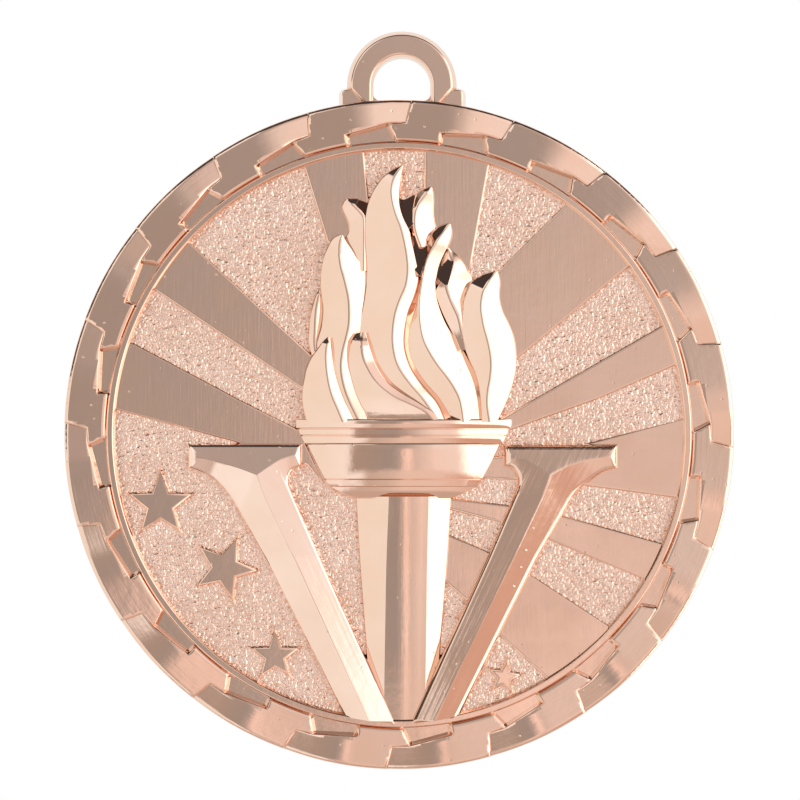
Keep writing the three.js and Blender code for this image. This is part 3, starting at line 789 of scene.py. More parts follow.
RIGHT_ARM = {
    "heights": {"left": 1.21, "top": 1.2, "right": 0.98},
    "slant": 0.2,
    "fallen_by": 5,
    "head_rise": 1.16,
    "settled_by": 2,
    "top": [(8.0, -0.82), (16.5, -0.82)],
    "ridge_left": [(8.5, -1.62), (9.3, -1.8), (10.3, -2.3), (11.45, -3.02)],
    "ridge_right": [(11.45, -3.02), (12.8, -2.35), (14.3, -1.9), (16.05, -1.66)],
    "crest": [(11.45, -3.02), (11.25, -3.7), (10.9, -4.6), (8.62, -9.45), (2.6, -21.75)],
    "left": [(8.0, -2.35), (8.55, -2.52), (8.95, -3.05), (9.0, -3.7), (8.75, -4.5), (6.62, -9.45),
             (0.95, -21.9)],
    "right": [(16.5, -2.5), (15.5, -2.78), (14.6, -3.4), (13.6, -4.2), (12.95, -5.1), (10.45, -9.45),
              (4.4, -21.6)],
}


ARM_RUN = 8                     # places along the straight part of an arm's lines
RIDGE_COUNT = 14                # places along each ridge of an arm's head
CREST_BEND = 11                 # places along the bent part of a crest
FACET_EDGE = math.radians(9)    # edges of an arm that are sharper than this get a bevel


def bent_then_straight(places, straight_from, bend_count):
    """A curve through the bent stretch of a line, then a straight run to its end."""
    bent = curve(places[:straight_from + 1], bend_count)
    run = np.linspace(bent[-1], places[-1], ARM_RUN)[1:]
    return np.vstack([bent, run])


def arm_shape(arm, bevel):
    """One arm of the V, cut like a chiselled letter: facets rise from every edge to a crest."""
    crest = bent_then_straight(arm["crest"], 3, CREST_BEND)
    ridges = {side: np.vstack([curve(line, RIDGE_COUNT), crest[1:]])
              for side, line in (("left", arm["ridge_left"]), ("right", arm["ridge_right"][::-1]))}
    total = len(ridges["left"])
    top_count = 2 * RIDGE_COUNT - 1
    top = np.linspace(arm["top"][0], arm["top"][1], top_count)
    top_level = GROUND + arm["heights"]["top"]
    crest_level = ARM_TOP - bevel * 0.2
    head = top_level + arm["head_rise"] * (crest_level - top_level)
    slope = (head - top_level) / (top[0][1] - crest[0][1])

    def edge(side):
        """An edge's places with their heights, from the top edge's height to its own."""
        line = bent_then_straight(arm[side], 5, total - ARM_RUN + 1)
        fall = GROUND + arm["heights"][side] - top_level
        return [(x, z, top_level + fall * smooth_step(0, arm["fallen_by"], i))
                for i, (x, z) in enumerate(line)]

    def ridge(line):
        """The flat under the top edge is one plane up to the crest's head."""
        places = [(x, z, top_level + slope * (top[0][1] - z)) for x, z in line[:RIDGE_COUNT]]
        for i, (x, z) in enumerate(line[RIDGE_COUNT:]):
            settled = smooth_step(0, arm["settled_by"], i + 1)
            places.append((x, z, head + (crest_level - head) * settled))
        return places

    full_rim = edge("left") + edge("right")[::-1] + [(x, z, top_level) for x, z in top[::-1]]
    outer = [place[:2] for place in full_rim]
    rim = [(x, z, place[2]) for (x, z), place in zip(inset(outer, arm["slant"]), full_rim)]
    left_edge, right_edge = rim[:total], rim[total:2 * total][::-1]
    top_edge = rim[2 * total:][::-1]
    left_ridge, right_ridge = ridge(ridges["left"]), ridge(ridges["right"])
    top_ridge = left_ridge[:RIDGE_COUNT] + right_ridge[:RIDGE_COUNT][::-1][1:]
    shape = bmesh.new()
    corners = {}

    def at(place):
        """The corner at a place, made once."""
        key = tuple(round(float(value), 4) for value in place)
        if key not in corners:
            corners[key] = shape.verts.new(key)
        return corners[key]

    def face(*places):
        """A face between places, unless fewer than three of them differ."""
        ring = list(dict.fromkeys(at(place) for place in places))
        if len(ring) > 2:
            shape.faces.new(ring)

    for one, two in ((left_edge, left_ridge), (right_edge, right_ridge), (top_edge, top_ridge)):
        for i in range(len(one) - 1):
            face(one[i], one[i + 1], two[i + 1], two[i])
    face(top_edge[0], left_ridge[0], left_edge[0])
    face(top_edge[-1], right_ridge[0], right_edge[0])
    face(left_edge[-1], left_ridge[-1], right_edge[-1])
    slant = [(x, z, level - 1.1 * arm["slant"]) for x, z, level in full_rim]
    feet = [(x, z, BURIED) for x, z in inset(outer, -DRAFT)]
    for one, two in ((rim, slant), (slant, feet)):
        for i in range(len(rim)):
            j = (i + 1) % len(rim)
            face(one[i], one[j], two[j], two[i])
    face(*feet)
    bmesh.ops.recalc_face_normals(shape, faces=shape.faces)
    sharp = [e for e in shape.edges if len(e.link_faces) == 2 and e.calc_face_angle(0) > FACET_EDGE
             and min(v.co.z for v in e.verts) > BURIED + 0.2]
    bmesh.ops.bevel(shape, geom=sharp, offset=bevel, segments=2, profile=0.5, affect="EDGES",
                    clamp_overlap=True)
    bmesh.ops.recalc_face_normals(shape, faces=shape.faces)
    return shape


def victory_arms():
    """The two arms, with broader bevels on the right one."""
    for side, arm, bevel, metal in (("left", LEFT_ARM, 0.09, LEFT_ARM_METAL),
                                    ("right", RIGHT_ARM, 0.12, RIGHT_ARM_METAL)):
        piece(f"v_{side}_arm", arm_shape(arm, bevel), metal, [f"v_arm_{side}"], CRISP)


# ---- torch ----

TORCH_CENTRE = 0.34
STEM_BOW = 0.028                # how fast the stem's front falls away to its sides
BOWL_ROUND = 0.0092             # the same for the bowl, as a part of its depth

# stem rows: z, left, inner left, inner right and right places, edge and crest heights
STEM_ROWS = [(-4.7, -3.25, -0.78, 2.27, 3.95, 0.45, 1.5), (-10.0, -2.95, -0.98, 2.15, 3.62, 0.42, 1.25),
             (-17.0, -2.42, -1.1, 2.05, 3.05, 0.36, 0.9), (-21.8, -2.1, -1.15, 1.95, 2.75, 0.3, 0.62)]


def stem():
    """The tapering stem: two flat sides and a gently rounded front."""
    sections = []
    for z, left, inner_left, inner_right, right, edge, crest in curve(STEM_ROWS, 26):
        front = np.linspace(inner_left, inner_right, 7)
        line = [np.array([left - 0.1, z, BURIED]), np.array([left, z, GROUND + edge])]
        middle = [np.array([x, z, GROUND + crest - STEM_BOW * (x - TORCH_CENTRE) ** 2]) for x in front]
        line += [middle[0], middle[-1], np.array([right, z, GROUND + edge]),
                 np.array([right + 0.1, z, BURIED])]
        section = rounded(line, [EDGE] * 4)
        # the points that round the front go between its two corners
        split = 1 + 5 * 2
        sections.append(section[:split] + middle[1:-1] + section[split:])
    piece("stem_of_torch", loft(sections), STEM_METAL, ["torch_stem"])


# bowl rows: z, half width and depth in front of the ground
RIM_ROWS = [(1.17, 8.14, 2.12), (1.1, 8.19, 2.19), (1.05, 8.2, 2.2), (0.55, 8.2, 2.2), (0.5, 8.14, 2.16),
            (0.47, 7.95, 2.02), (0.42, 7.9, 2.02), (0.39, 8.02, 2.12), (0.0, 7.85, 2.14),
            (-0.04, 7.7, 2.02), (-0.09, 7.68, 2.02), (-0.12, 7.8, 2.12), (-0.62, 7.58, 2.12),
            (-0.66, 7.5, 2.08), (-0.7, 7.35, 1.95)]
BODY_ROWS = [(-0.68, 7.15, 1.9), (-0.73, 7.28, 2.02), (-0.78, 7.3, 2.03), (-1.4, 7.0, 1.99),
             (-2.4, 6.5, 1.92), (-3.28, 6.02, 1.86), (-3.33, 6.0, 1.85), (-3.36, 5.9, 1.77),
             (-3.4, 5.9, 1.77), (-3.43, 5.97, 1.84), (-3.88, 5.7, 1.79), (-3.94, 5.55, 1.68)]
FOOT_ROWS = [(-3.9, 5.4, 1.55), (-3.98, 5.5, 1.56), (-4.4, 4.7, 1.35), (-4.78, 3.8, 1.1), (-4.84, 3.6, 1.0)]


def half_round(rows):
    """A form bowed across the torch, through rows."""
    sections = []
    for z, half_width, depth in rows:
        line = [np.array([TORCH_CENTRE - half_width - 0.08, z, BURIED])]
        reach = half_width - 0.06
        for x in (-half_width, *np.linspace(-reach, reach, 49), half_width):
            fall = BOWL_ROUND * x * x + (0.1 if abs(x) > reach else 0.0)
            line.append(np.array([TORCH_CENTRE + x, z, GROUND + depth * (1 - fall)]))
        line.append(np.array([TORCH_CENTRE + half_width + 0.08, z, BURIED]))
        sections.append(line)
    return loft(sections)


def bowl():
    """The bowl's banded rim, its body and its chamfered foot."""
    for name, rows, part in (("banded_rim", RIM_ROWS, "bowl_rim"), ("body_of_bowl", BODY_ROWS, "bowl_body"),
                             ("foot_of_bowl", FOOT_ROWS, "bowl_foot")):
        piece(name, half_round(rows), POLISHED, [part])


# ---- flame ----

# A tongue runs from its root to its tip between three lines: left edge, crest and right
# edge. Past "turn" of its length, the left facet closes and a steep end facet takes over.
TONGUES = {
    "flame_main": dict(
        left=[(0.3, 0.95), (-1.2, 3.0), (-2.4, 5.2), (-2.95, 8.0), (-2.6, 10.6), (-2.42, 12.6), (-2.58, 14.8),
              (-2.5, 16.7), (-2.15, 18.05), (-1.5, 19.15), (-0.7, 19.9), (0.2, 20.38)],
        crest=[(3.0, 0.95), (1.9, 2.6), (0.75, 3.95), (-0.1, 5.3), (-0.45, 7.0), (-0.33, 8.8), (0.05, 10.1),
               (0.55, 11.3), (0.7, 12.6), (0.55, 14.0), (0.2, 15.5), (-0.25, 16.7), (-0.52, 17.8),
               (-0.55, 18.7), (-0.3, 19.5), (0.25, 20.38)],
        right=[(3.5, 0.95), (2.8, 2.45), (1.55, 3.95), (0.72, 5.3), (0.33, 7.0), (0.62, 9.1), (1.2, 10.6),
               (1.48, 11.9), (1.25, 13.3), (0.95, 14.6), (0.78, 15.4), (0.3, 16.4), (0.02, 17.4),
               (0.02, 18.4), (0.12, 19.4), (0.32, 20.35)],
        edge=1.2, crest_height=1.98, turn=0.94, lean=0.4),
    "flame_right_curl": dict(
        left=[(3.5, 1.0), (2.8, 2.4), (1.6, 3.9), (0.75, 5.3), (0.35, 6.6), (0.35, 7.9), (0.65, 9.2),
              (1.1, 10.6), (1.45, 11.9), (1.75, 13.0), (2.1, 14.2), (2.5, 15.2), (3.1, 15.75), (3.72, 16.0)],
        crest=[(4.85, 0.95), (4.65, 2.4), (4.3, 3.3), (3.7, 4.25), (2.95, 5.2), (2.3, 6.2), (1.85, 7.1),
               (1.6, 8.1), (1.48, 9.2), (1.5, 10.3), (1.65, 11.4), (1.8, 12.3), (2.0, 13.1), (2.35, 13.9),
               (2.75, 14.5), (3.2, 15.15), (3.78, 15.95)],
        right=[(6.35, 0.95), (6.3, 2.4), (6.15, 3.5), (5.85, 4.5), (5.35, 5.5), (4.8, 6.5), (4.2, 7.4),
               (3.6, 8.3), (3.15, 9.3), (2.85, 10.3), (2.75, 11.2), (2.85, 12.1), (3.05, 12.9), (3.4, 13.7),
               (3.78, 14.5), (3.98, 15.2), (3.92, 15.9)],
        edge=1.1, crest_height=1.9, turn=0.86, deep=True),
    "flame_left": dict(
        left=[(-4.2, 0.95), (-5.2, 3.0), (-6.0, 5.4), (-6.2, 7.0), (-5.9, 8.2), (-5.74, 9.4), (-5.88, 10.6),
              (-5.95, 11.6), (-5.85, 12.7), (-5.62, 13.7), (-5.25, 14.5), (-4.85, 14.98), (-4.38, 15.15)],
        crest=[(-3.0, 0.95), (-3.7, 2.4), (-4.05, 3.3), (-4.3, 4.3), (-4.38, 5.3), (-4.25, 6.3), (-4.0, 7.3),
               (-3.8, 8.2), (-3.75, 9.2), (-3.8, 10.2), (-3.95, 11.0), (-4.15, 11.8), (-4.38, 12.6),
               (-4.52, 13.5), (-4.5, 14.3), (-4.32, 15.1)],
        right=[(-2.4, 0.95), (-3.0, 2.4), (-3.4, 3.6), (-3.6, 5.0), (-3.45, 6.5), (-3.15, 7.8), (-2.9, 8.8),
               (-2.65, 10.0), (-2.55, 11.2), (-2.72, 12.2), (-3.15, 12.9), (-3.6, 13.5), (-3.95, 14.3),
               (-4.22, 15.05)],
        edge=0.9, crest_height=1.6, turn=0.985, tuck=(0.0, 0.3)),
    "flame_front_left": dict(
        left=[(-7.0, 0.95), (-7.2, 1.8), (-7.32, 2.6), (-7.28, 3.5), (-7.12, 4.3), (-6.95, 5.1), (-6.65, 5.8),
              (-6.2, 6.45), (-5.75, 7.05), (-5.4, 7.4)],
        crest=[(-4.2, 0.95), (-4.6, 1.9), (-4.95, 2.7), (-5.2, 3.5), (-5.38, 4.4), (-5.47, 5.2), (-5.5, 6.0),
               (-5.42, 6.8), (-5.32, 7.4)],
        right=[(-3.35, 0.95), (-3.8, 1.9), (-4.15, 2.6), (-4.5, 3.5), (-4.8, 4.5), (-4.98, 5.4), (-5.1, 6.4),
               (-5.2, 7.35)],
        edge=1.25, crest_height=1.95, turn=0.975),
    "flame_front_centre": dict(
        left=[(-2.3, 0.95), (-2.55, 1.7), (-2.9, 2.3), (-3.25, 3.1), (-3.55, 4.0), (-3.75, 4.9), (-3.8, 5.7),
              (-3.72, 6.5), (-3.55, 7.2), (-3.3, 7.65)],
        crest=[(2.75, 0.95), (2.1, 1.65), (1.4, 2.05), (0.6, 2.4), (-0.2, 2.75), (-0.9, 3.2), (-1.5, 3.7),
               (-2.0, 4.3), (-2.4, 5.0), (-2.68, 5.6), (-2.83, 6.3), (-2.85, 7.1), (-2.78, 7.75)],
        right=[(3.15, 0.95), (2.6, 1.7), (2.0, 2.1), (1.2, 2.6), (0.4, 3.05), (-0.3, 3.5), (-0.85, 3.95),
               (-1.35, 4.6), (-1.75, 5.3), (-2.05, 6.1), (-2.3, 6.9), (-2.5, 7.72)],
        edge=1.45, crest_height=2.08, turn=0.98, fall_right=0.2),
    "flame_right_outer": dict(
        left=[(6.35, 0.95), (6.3, 2.2), (6.15, 3.6), (5.85, 4.7), (5.4, 5.7), (5.1, 6.5), (4.92, 7.3),
              (4.87, 8.2), (4.92, 9.2), (5.0, 10.1), (5.2, 10.8), (5.6, 11.5), (6.3, 12.0), (7.25, 12.4)],
        crest=[(6.9, 0.95), (6.72, 2.2), (6.75, 3.2), (6.9, 4.1), (7.0, 5.0), (6.98, 5.8), (6.85, 6.6),
               (6.65, 7.4), (6.45, 8.1), (6.3, 8.9), (6.22, 9.6), (6.3, 10.4), (6.5, 11.1), (6.9, 11.8),
               (7.35, 12.38)],
        right=[(7.4, 0.95), (8.0, 2.2), (8.4, 3.2), (8.7, 4.2), (8.85, 5.2), (8.85, 6.1), (8.75, 7.0),
               (8.55, 7.8), (8.2, 8.6), (7.85, 9.3), (7.62, 10.1), (7.58, 10.8), (7.62, 11.6), (7.48, 12.35)],
        edge=0.95, crest_height=1.65, turn=0.84, tuck=(0.1, 0.0)),
    "flame_right_back": dict(
        left=[(1.5, 14.2), (1.15, 15.2), (1.0, 15.9), (1.0, 16.7), (1.1, 17.5), (1.3, 18.15), (1.8, 18.55),
              (2.35, 18.78)],
        crest=[(1.7, 14.2), (1.3, 15.3), (1.2, 16.0), (1.27, 16.8), (1.5, 17.5), (1.95, 18.15),
               (2.42, 18.74)],
        right=[(2.6, 14.4), (2.85, 15.2), (2.75, 15.8), (2.62, 16.3), (2.55, 17.0), (2.58, 17.9),
               (2.52, 18.7)],
        edge=0.7, crest_height=1.25, turn=0.56, steep=0.55),
    "flame_right_middle": dict(
        left=[(4.9, 6.4), (4.5, 7.4), (3.8, 8.8), (3.3, 10.0), (3.1, 10.9), (3.45, 11.6), (3.72, 12.2),
              (3.92, 12.8), (3.92, 13.4), (3.66, 14.15)],
        crest=[(5.1, 6.4), (4.85, 7.4), (4.55, 8.8), (4.2, 9.6), (3.85, 10.4), (3.62, 11.2), (3.75, 11.9),
               (4.0, 12.6), (4.02, 13.3), (3.72, 14.15)],
        right=[(5.3, 6.4), (5.0, 7.4), (5.0, 8.6), (5.05, 9.6), (5.3, 10.6), (5.5, 11.5), (5.3, 12.1),
               (4.85, 12.85), (4.35, 13.55), (3.82, 14.15)],
        edge=0.65, crest_height=1.2, turn=2.0, tuck=(0.3, 0.1), sink=0.5),
    "flame_left_back": dict(
        left=[(-2.9, 12.4), (-3.4, 13.4), (-3.9, 14.2), (-3.98, 14.8), (-3.68, 15.4), (-3.64, 16.0),
              (-3.82, 16.5), (-4.08, 17.0), (-4.15, 17.5), (-4.0, 17.9)],
        crest=[(-2.6, 12.4), (-2.6, 13.5), (-2.6, 14.5), (-2.6, 15.4), (-2.62, 16.4), (-2.9, 16.85),
               (-3.4, 17.35), (-3.95, 17.88)],
        right=[(-2.2, 12.4), (-2.2, 13.5), (-2.2, 14.5), (-2.2, 15.6), (-2.2, 17.15), (-2.7, 17.5),
               (-3.3, 17.72), (-3.9, 17.92)],
        edge=0.3, crest_height=1.15, turn=0.97, tuck=(0.15, 0.2), fall_right=1.0),
    "flame_left_edge": dict(
        left=[(-6.6, 6.0), (-6.85, 7.0), (-6.82, 7.8), (-6.75, 8.7), (-6.6, 9.6), (-6.38, 10.4),
              (-6.05, 11.1)],
        crest=[(-6.3, 6.0), (-6.4, 7.0), (-6.36, 8.0), (-6.3, 9.2), (-6.15, 10.2), (-6.0, 11.08)],
        right=[(-5.8, 6.0), (-5.9, 7.2), (-5.85, 8.2), (-5.8, 9.2), (-5.8, 10.2), (-5.95, 11.05)],
        edge=0.45, crest_height=0.75, turn=0.9, tuck=(0.0, 0.15)),
}

# Steep webs that close the valleys between tongues: the outline, the place up the face
# where the web starts from the ground, and how fast it rises below that.
WEBS = {
    "flame_right_back": ([(-0.1, 17.75), (0.5, 17.88), (1.2, 18.25), (1.4, 17.6), (1.15, 16.0), (0.7, 15.5),
                          (0.2, 15.9)], 18.1, 0.55),
    "flame_right_curl": ([(0.55, 16.4), (1.3, 16.4), (1.9, 15.2), (2.1, 13.6), (1.6, 11.9), (1.2, 12.4),
                          (0.9, 13.6)], 16.6, 0.42),
    "flame_right_middle": ([(3.45, 14.1), (4.15, 13.1), (3.95, 12.2), (3.7, 11.3), (3.4, 11.3),
                            (2.7, 12.0), (2.8, 12.9)], 14.6, 0.5),
}

TONGUE_STEPS = 60
LEFT_FALL = 0.27                # slope of a tongue's left facet


def tongue_shape(left, crest, right, edge, crest_height, turn, deep=False, tuck=(0.0, 0.0), lean=DRAFT,
                 fall_right=0.45, sink=0.12, steep=0.85):
    """A tongue's closed form: side walls, two facets, a crest and a dark, steep end facet.

    tuck moves its left and right edges outwards, under the tongues beside it. A deep
    tongue's left facet falls all the way to its edge height. lean is how far its right
    wall leans out, fall_right the slope of its right facet, steep that of its end facet,
    and sink the part of its height that it loses towards its tip.
    """
    lines = [curve(line, TONGUE_STEPS) for line in (left, crest, right)]
    sections = []
    for i, (l, c, r) in enumerate(zip(*lines)):
        along = i / (TONGUE_STEPS - 1)
        close = smooth_step(turn, turn + 0.06, along)
        fall = 1.0 - sink * smooth_step(0.96 - 0.6 * sink, 1.0, along)
        top = GROUND + crest_height * fall
        low = GROUND + edge * fall
        to_left, to_right = l - c, r - c
        left_width = max(np.linalg.norm(to_left), 1e-6)
        right_width = max(np.linalg.norm(to_right), 1e-6)
        narrow = 1.0 - smooth_step(0.9, 1.0, along)
        l = l + to_left / left_width * tuck[0] * narrow
        r = r + to_right / right_width * tuck[1] * narrow
        left_level = low if deep else max(low, top - LEFT_FALL * left_width)
        steep_level = max(GROUND + 0.2, top - steep * left_width)
        left_level += (steep_level - left_level) * close
        right_level = max(GROUND + min(edge, 0.75) * fall, top - fall_right * right_width)
        lean_left = min(DRAFT, 0.3 * (left_width + right_width))
        lean_right = min(lean, 0.3 * (left_width + right_width))
        line = [np.array([*(l + to_left / left_width * lean_left), BURIED]), np.array([*l, left_level]),
                np.array([*c, top]), np.array([*r, right_level]),
                np.array([*(r + to_right / right_width * lean_right), BURIED])]
        sections.append(rounded(line, [0.05, 0.1, 0.05], flat_corner=1))
    return loft(sections)


def flame():
    """Ten tongues, three of them with a web."""
    for name, tongue in TONGUES.items():
        shapes = [tongue_shape(**tongue)]
        if name in WEBS:
            outline, start, rise = WEBS[name]
            shapes.append(raised(outline, GROUND + 0.05, 0.02, 0.02,
                                 slope=lambda x, z, t=start, k=rise: k * (t - z)))
        piece(name.replace("flame", "tongue"), join(shapes), POLISHED, [name])


# ---- hanging loop ----


LOOP_RADII = (4.17, 2.17)       # outside and inside of the loop
LOOP_MIDDLE = 0.21
LOOP_FOOT = 25.0                # places of the loop end here, inside the disc
SILL_TOP = 25.36                # where the disc's edge closes the hole
FILLET = 0.55                   # corners between the hole's sides and its sill
SHOULDER_DRAFT = 0.26


def loop_section(outside, inside):
    """The loop's section between a place on its outside and one on its inside."""
    outside, inside = np.array(outside), np.array(inside)
    inward = (inside - outside) / np.linalg.norm(inside - outside)
    top = LOOP_TOP
    from_outside = [(0.12, 0.01), (0.03, 0.05), (0.0, 0.14), (0.0, top - 1.1), (0.03, top - 1.0),
                    (0.29, top - 0.12), (0.33, top - 0.04), (0.4, top), (0.5, top)]
    from_inside = [(-0.34, top), (-0.26, top), (-0.2, top - 0.02), (-0.17, top - 0.07),
                   (-0.02, top - 0.6), (0.0, top - 0.7), (0.0, 0.14), (-0.03, 0.05), (-0.12, 0.01)]
    return [np.array([*(base + inward * step), level])
            for base, steps in ((outside, from_outside), (inside, from_inside)) for step, level in steps]


def loop_arch():
    """The loop itself, a flat-faced arch with broad bevels that stands on the disc's edge."""
    outer_radius, inner_radius = LOOP_RADII
    centre = (LOOP_MIDDLE, LOOP_CREST - outer_radius)
    left, right = LOOP_MIDDLE - inner_radius, LOOP_MIDDLE + inner_radius
    places = [((-2.7, 24.9), (left, LOOP_FOOT)), ((-3.35, 25.6), (left, 25.7))]
    places += zip(arc(outer_radius, -93, 93, 60, centre), arc(inner_radius, -93, 93, 60, centre))
    places += [((3.78, 25.6), (right, 25.7)), ((3.15, 24.9), (right, LOOP_FOOT))]
    arch = [loft([loop_section(*pair) for pair in places])]
    half = inner_radius + 0.05
    for side in (-1, 1):
        wall = LOOP_MIDDLE + side * half
        fillet = [(wall, SILL_TOP + FILLET), (wall - side * 0.12, SILL_TOP + 0.26),
                  (wall - side * 0.3, SILL_TOP + 0.09), (wall - side * FILLET, SILL_TOP),
                  (wall - side * FILLET, LOOP_FOOT), (wall, LOOP_FOOT)]
        arch.append(raised(fillet, LOOP_TOP - 0.62, 0.0, 0.02, 0.05))
    sill = [(LOOP_MIDDLE + side * half, z) for side, z in
            ((-1, LOOP_FOOT), (-1, SILL_TOP), (1, SILL_TOP), (1, LOOP_FOOT))]
    arch.append(raised(sill, LOOP_TOP - 0.25, 0.0, 0.06, 0.04))
    return join(arch)


def hanging_loop():
    """The loop and the two shoulders at its foot."""
    piece("loop_arch", loop_arch(), LOOP_METAL, ["suspension_loop"])
    for side, name, outer_x, foot_x, joint in (
            (-1, "left", -4.6, -2.3, (-3.55, 26.2)), (1, "right", 5.1, 2.7, (4.0, 26.2))):
        base = math.sqrt(DISC_RADIUS ** 2 - outer_x ** 2) - 0.3
        face_x = outer_x - side * SHOULDER_DRAFT
        outline = [(foot_x, LOOP_FOOT), joint, (face_x - side * 0.36, 26.2), (face_x - side * 0.14, 26.14),
                   (face_x - side * 0.04, 26.02), (face_x, 25.85), (face_x, base), (foot_x, base)]
        shape = raised(outline, SHOULDER_TOP, SHOULDER_DRAFT, 0.08, 0.03)
        piece(f"shoulder_{name}", shape, LOOP_METAL, [f"loop_shoulder_{name}"])


# ---- studio ----


CREAM, FAR_CREAM = (1.04, 1.05, 1.06), (0.965, 0.955, 0.91)
WHITE, DARK, COPPER = (1.9, 1.9, 1.85), (0.1, 0.08, 0.07), (0.7, 0.46, 0.37)
PALE, PALE_ROSE = (0.95, 0.9, 0.88), (1.0, 0.9, 0.88)

# Rows of light round the room, each from left to right as (place, colour).
LEFT_PANEL = [(-1.0, FAR_CREAM), (-0.45, FAR_CREAM), (-0.31, CREAM), (-0.28, (0.44, 0.37, 0.33))]
RIGHT_PANEL = [(0.36, WHITE), (1.0, WHITE)]
MIDDLE_HIGH = LEFT_PANEL + [
    (-0.05, (0.40, 0.38, 0.37)), (0.0, (0.48, 0.45, 0.44)), (0.06, (0.62, 0.57, 0.55)),
    (0.18, PALE), (0.31, PALE)] + RIGHT_PANEL
MIDDLE_LOW = LEFT_PANEL + [
    (-0.06, (0.38, 0.36, 0.35)), (-0.02, (0.5, 0.45, 0.43)), (0.02, (1.08, 0.87, 0.8)),
    (0.042, (0.98, 0.79, 0.73)), (0.06, (0.7, 0.61, 0.57)), (0.18, (0.95, 0.82, 0.78)),
    (0.31, (0.95, 0.88, 0.86))] + RIGHT_PANEL
HIGH = [(-1.0, DARK), (-0.68, DARK), (-0.6, FAR_CREAM), (-0.45, FAR_CREAM), (-0.28, CREAM), (-0.19, CREAM),
        (-0.14, (0.44, 0.4, 0.38)), (-0.08, (0.48, 0.42, 0.4)), (0.0, (0.43, 0.41, 0.39)),
        (0.12, (0.6, 0.53, 0.51)), (0.2, (0.8, 0.72, 0.7)), (0.28, PALE_ROSE), (0.5, PALE_ROSE),
        (0.56, WHITE), (1.0, WHITE)]
LOW = [(-1.0, FAR_CREAM), (-0.45, FAR_CREAM), (-0.28, CREAM), (-0.24, CREAM), (-0.19, (0.62, 0.53, 0.48)),
       (-0.08, (0.7, 0.6, 0.55)), (0.0, (0.85, 0.72, 0.66)), (0.2, (0.86, 0.7, 0.64)), (0.36, COPPER),
       (0.6, COPPER), (0.7, WHITE), (1.0, WHITE)]
CEILING, UNDERSIDE = (0.06, 0.05, 0.05), (0.62, 0.5, 0.45)
BEHIND = (0.94, 0.93, 0.9)
BRIGHTEST = 2.0                 # ramps hold the light as a part of this


def halved(colour):
    """A colour as a part of the brightest light."""
    return (*[part / BRIGHTEST for part in colour], 1.0)


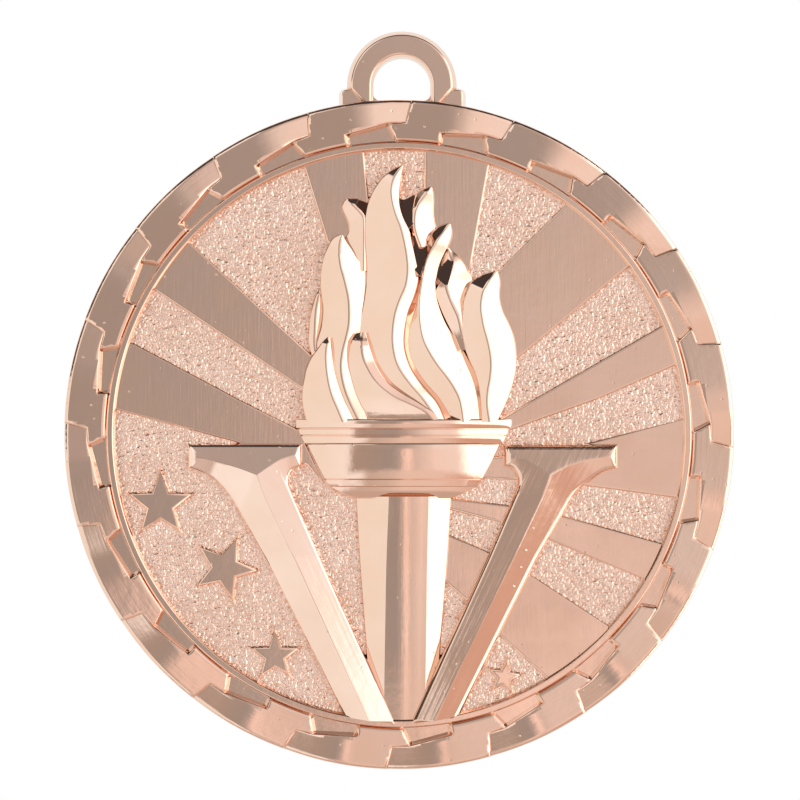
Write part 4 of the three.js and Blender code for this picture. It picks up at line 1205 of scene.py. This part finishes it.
def world_light():
    """A soft studio: bright panels left and right, dim above, a dark gap at the camera."""
    world = bpy.data.worlds.new("studio")
    bpy.context.scene.world = world
    world.use_nodes = True
    tree = world.node_tree
    tree.nodes.clear()
    direction = node(tree, "ShaderNodeTexCoord").outputs["Generated"]
    split = node(tree, "ShaderNodeSeparateXYZ", {0: direction})
    across, up = split.outputs["X"], split.outputs["Z"]

    def panel_row(stops):
        """Light across the room, from the stops of a row."""
        ramp = node(tree, "ShaderNodeValToRGB")
        tree.links.new(spread(tree, across, -1.0, 1.0, 0.0, 1.0), ramp.inputs[0])
        band = ramp.color_ramp.elements
        for i, (place, colour) in enumerate(stops):
            position = (place + 1) / 2
            if i > 1:
                band.new(position)
            band[i].position = position
            band[i].color = halved(colour)
        return ramp.outputs["Color"]

    def mix(factor, one, two):
        """Light between two, each a colour or a socket."""
        mixed_light = node(tree, "ShaderNodeMix", data_type="RGBA")
        tree.links.new(factor, mixed_light.inputs["Factor"])
        for key, value in (("A", one), ("B", two)):
            if isinstance(value, bpy.types.NodeSocket):
                tree.links.new(value, mixed_light.inputs[key])
            else:
                mixed_light.inputs[key].default_value = halved(value)
        return mixed_light.outputs["Result"]

    def blend(one, two, start, stop):
        """Light that turns from one into the other between two heights."""
        factor = node(tree, "ShaderNodeMapRange", {"Value": up, "From Min": start, "From Max": stop},
                      interpolation_type="SMOOTHSTEP").outputs["Result"]
        return mix(factor, one, two)

    light = blend(panel_row(MIDDLE_LOW), panel_row(MIDDLE_HIGH), -0.06, 0.06)
    light = blend(light, panel_row(HIGH), 0.12, 0.19)
    light = blend(panel_row(LOW), light, -0.22, -0.16)
    light = blend(UNDERSIDE, light, -0.85, -0.6)
    light = blend(light, CEILING, 0.53, 0.64)
    light = mix(spread(tree, split.outputs["Y"], 0.1, 0.35, 0.0, 1.0), light, BEHIND)
    studio_light = node(tree, "ShaderNodeBackground", {"Color": light, "Strength": BRIGHTEST})
    backdrop = node(tree, "ShaderNodeBackground", {"Color": (1.0, 1.0, 1.0, 1.0), "Strength": 1.0})
    seen = node(tree, "ShaderNodeLightPath").outputs["Is Camera Ray"]
    both = node(tree, "ShaderNodeMixShader", {0: seen, 1: studio_light.outputs[0], 2: backdrop.outputs[0]})
    output = node(tree, "ShaderNodeOutputWorld")
    tree.links.new(both.outputs[0], output.inputs["Surface"])


def floor():
    """A plain pale floor well below the hanging medal."""
    radius, level = 0.3, -0.06
    shape = bmesh.new()
    bmesh.ops.create_circle(shape, cap_ends=True, radius=radius, segments=96)
    mesh = bpy.data.meshes.new("floor")
    shape.to_mesh(mesh)
    shape.free()
    thing = link("floor", mesh)
    thing.location.z = level
    thing.visible_glossy = False
    material = bpy.data.materials.new("pale_floor")
    material.use_nodes = True
    surface = material.node_tree.nodes["Principled BSDF"]
    surface.inputs["Base Color"].default_value = (0.9, 0.9, 0.9, 1.0)
    surface.inputs["Roughness"].default_value = 0.8
    surface.inputs["Emission Color"].default_value = (1.0, 1.0, 1.0, 1.0)
    surface.inputs["Emission Strength"].default_value = 0.35
    mesh.materials.append(material)


def camera():
    """The camera looks straight at the face from in front, through a long lens."""
    data = bpy.data.cameras.new("camera")
    data.lens = 200.0
    data.sensor_width = 36.0
    data.clip_start = 0.01
    thing = bpy.data.objects.new("camera", data)
    bpy.context.scene.collection.objects.link(thing)
    frame_width = 0.0607
    middle = (0.00007, 0.00262)
    face_level = 0.0025
    distance = frame_width * data.lens / data.sensor_width
    thing.location = (middle[0], -distance - face_level, middle[1])
    thing.rotation_euler = (math.pi / 2, 0.0, 0.0)
    bpy.context.scene.camera = thing


def studio():
    """Light, floor, camera and plain colours."""
    world_light()
    floor()
    camera()
    bpy.context.scene.view_settings.view_transform = "Standard"


studio()
planchet()
ground()
bead_ring()
border()
rays()
stars()
victory_arms()
stem()
bowl()
flame()
hanging_loop()
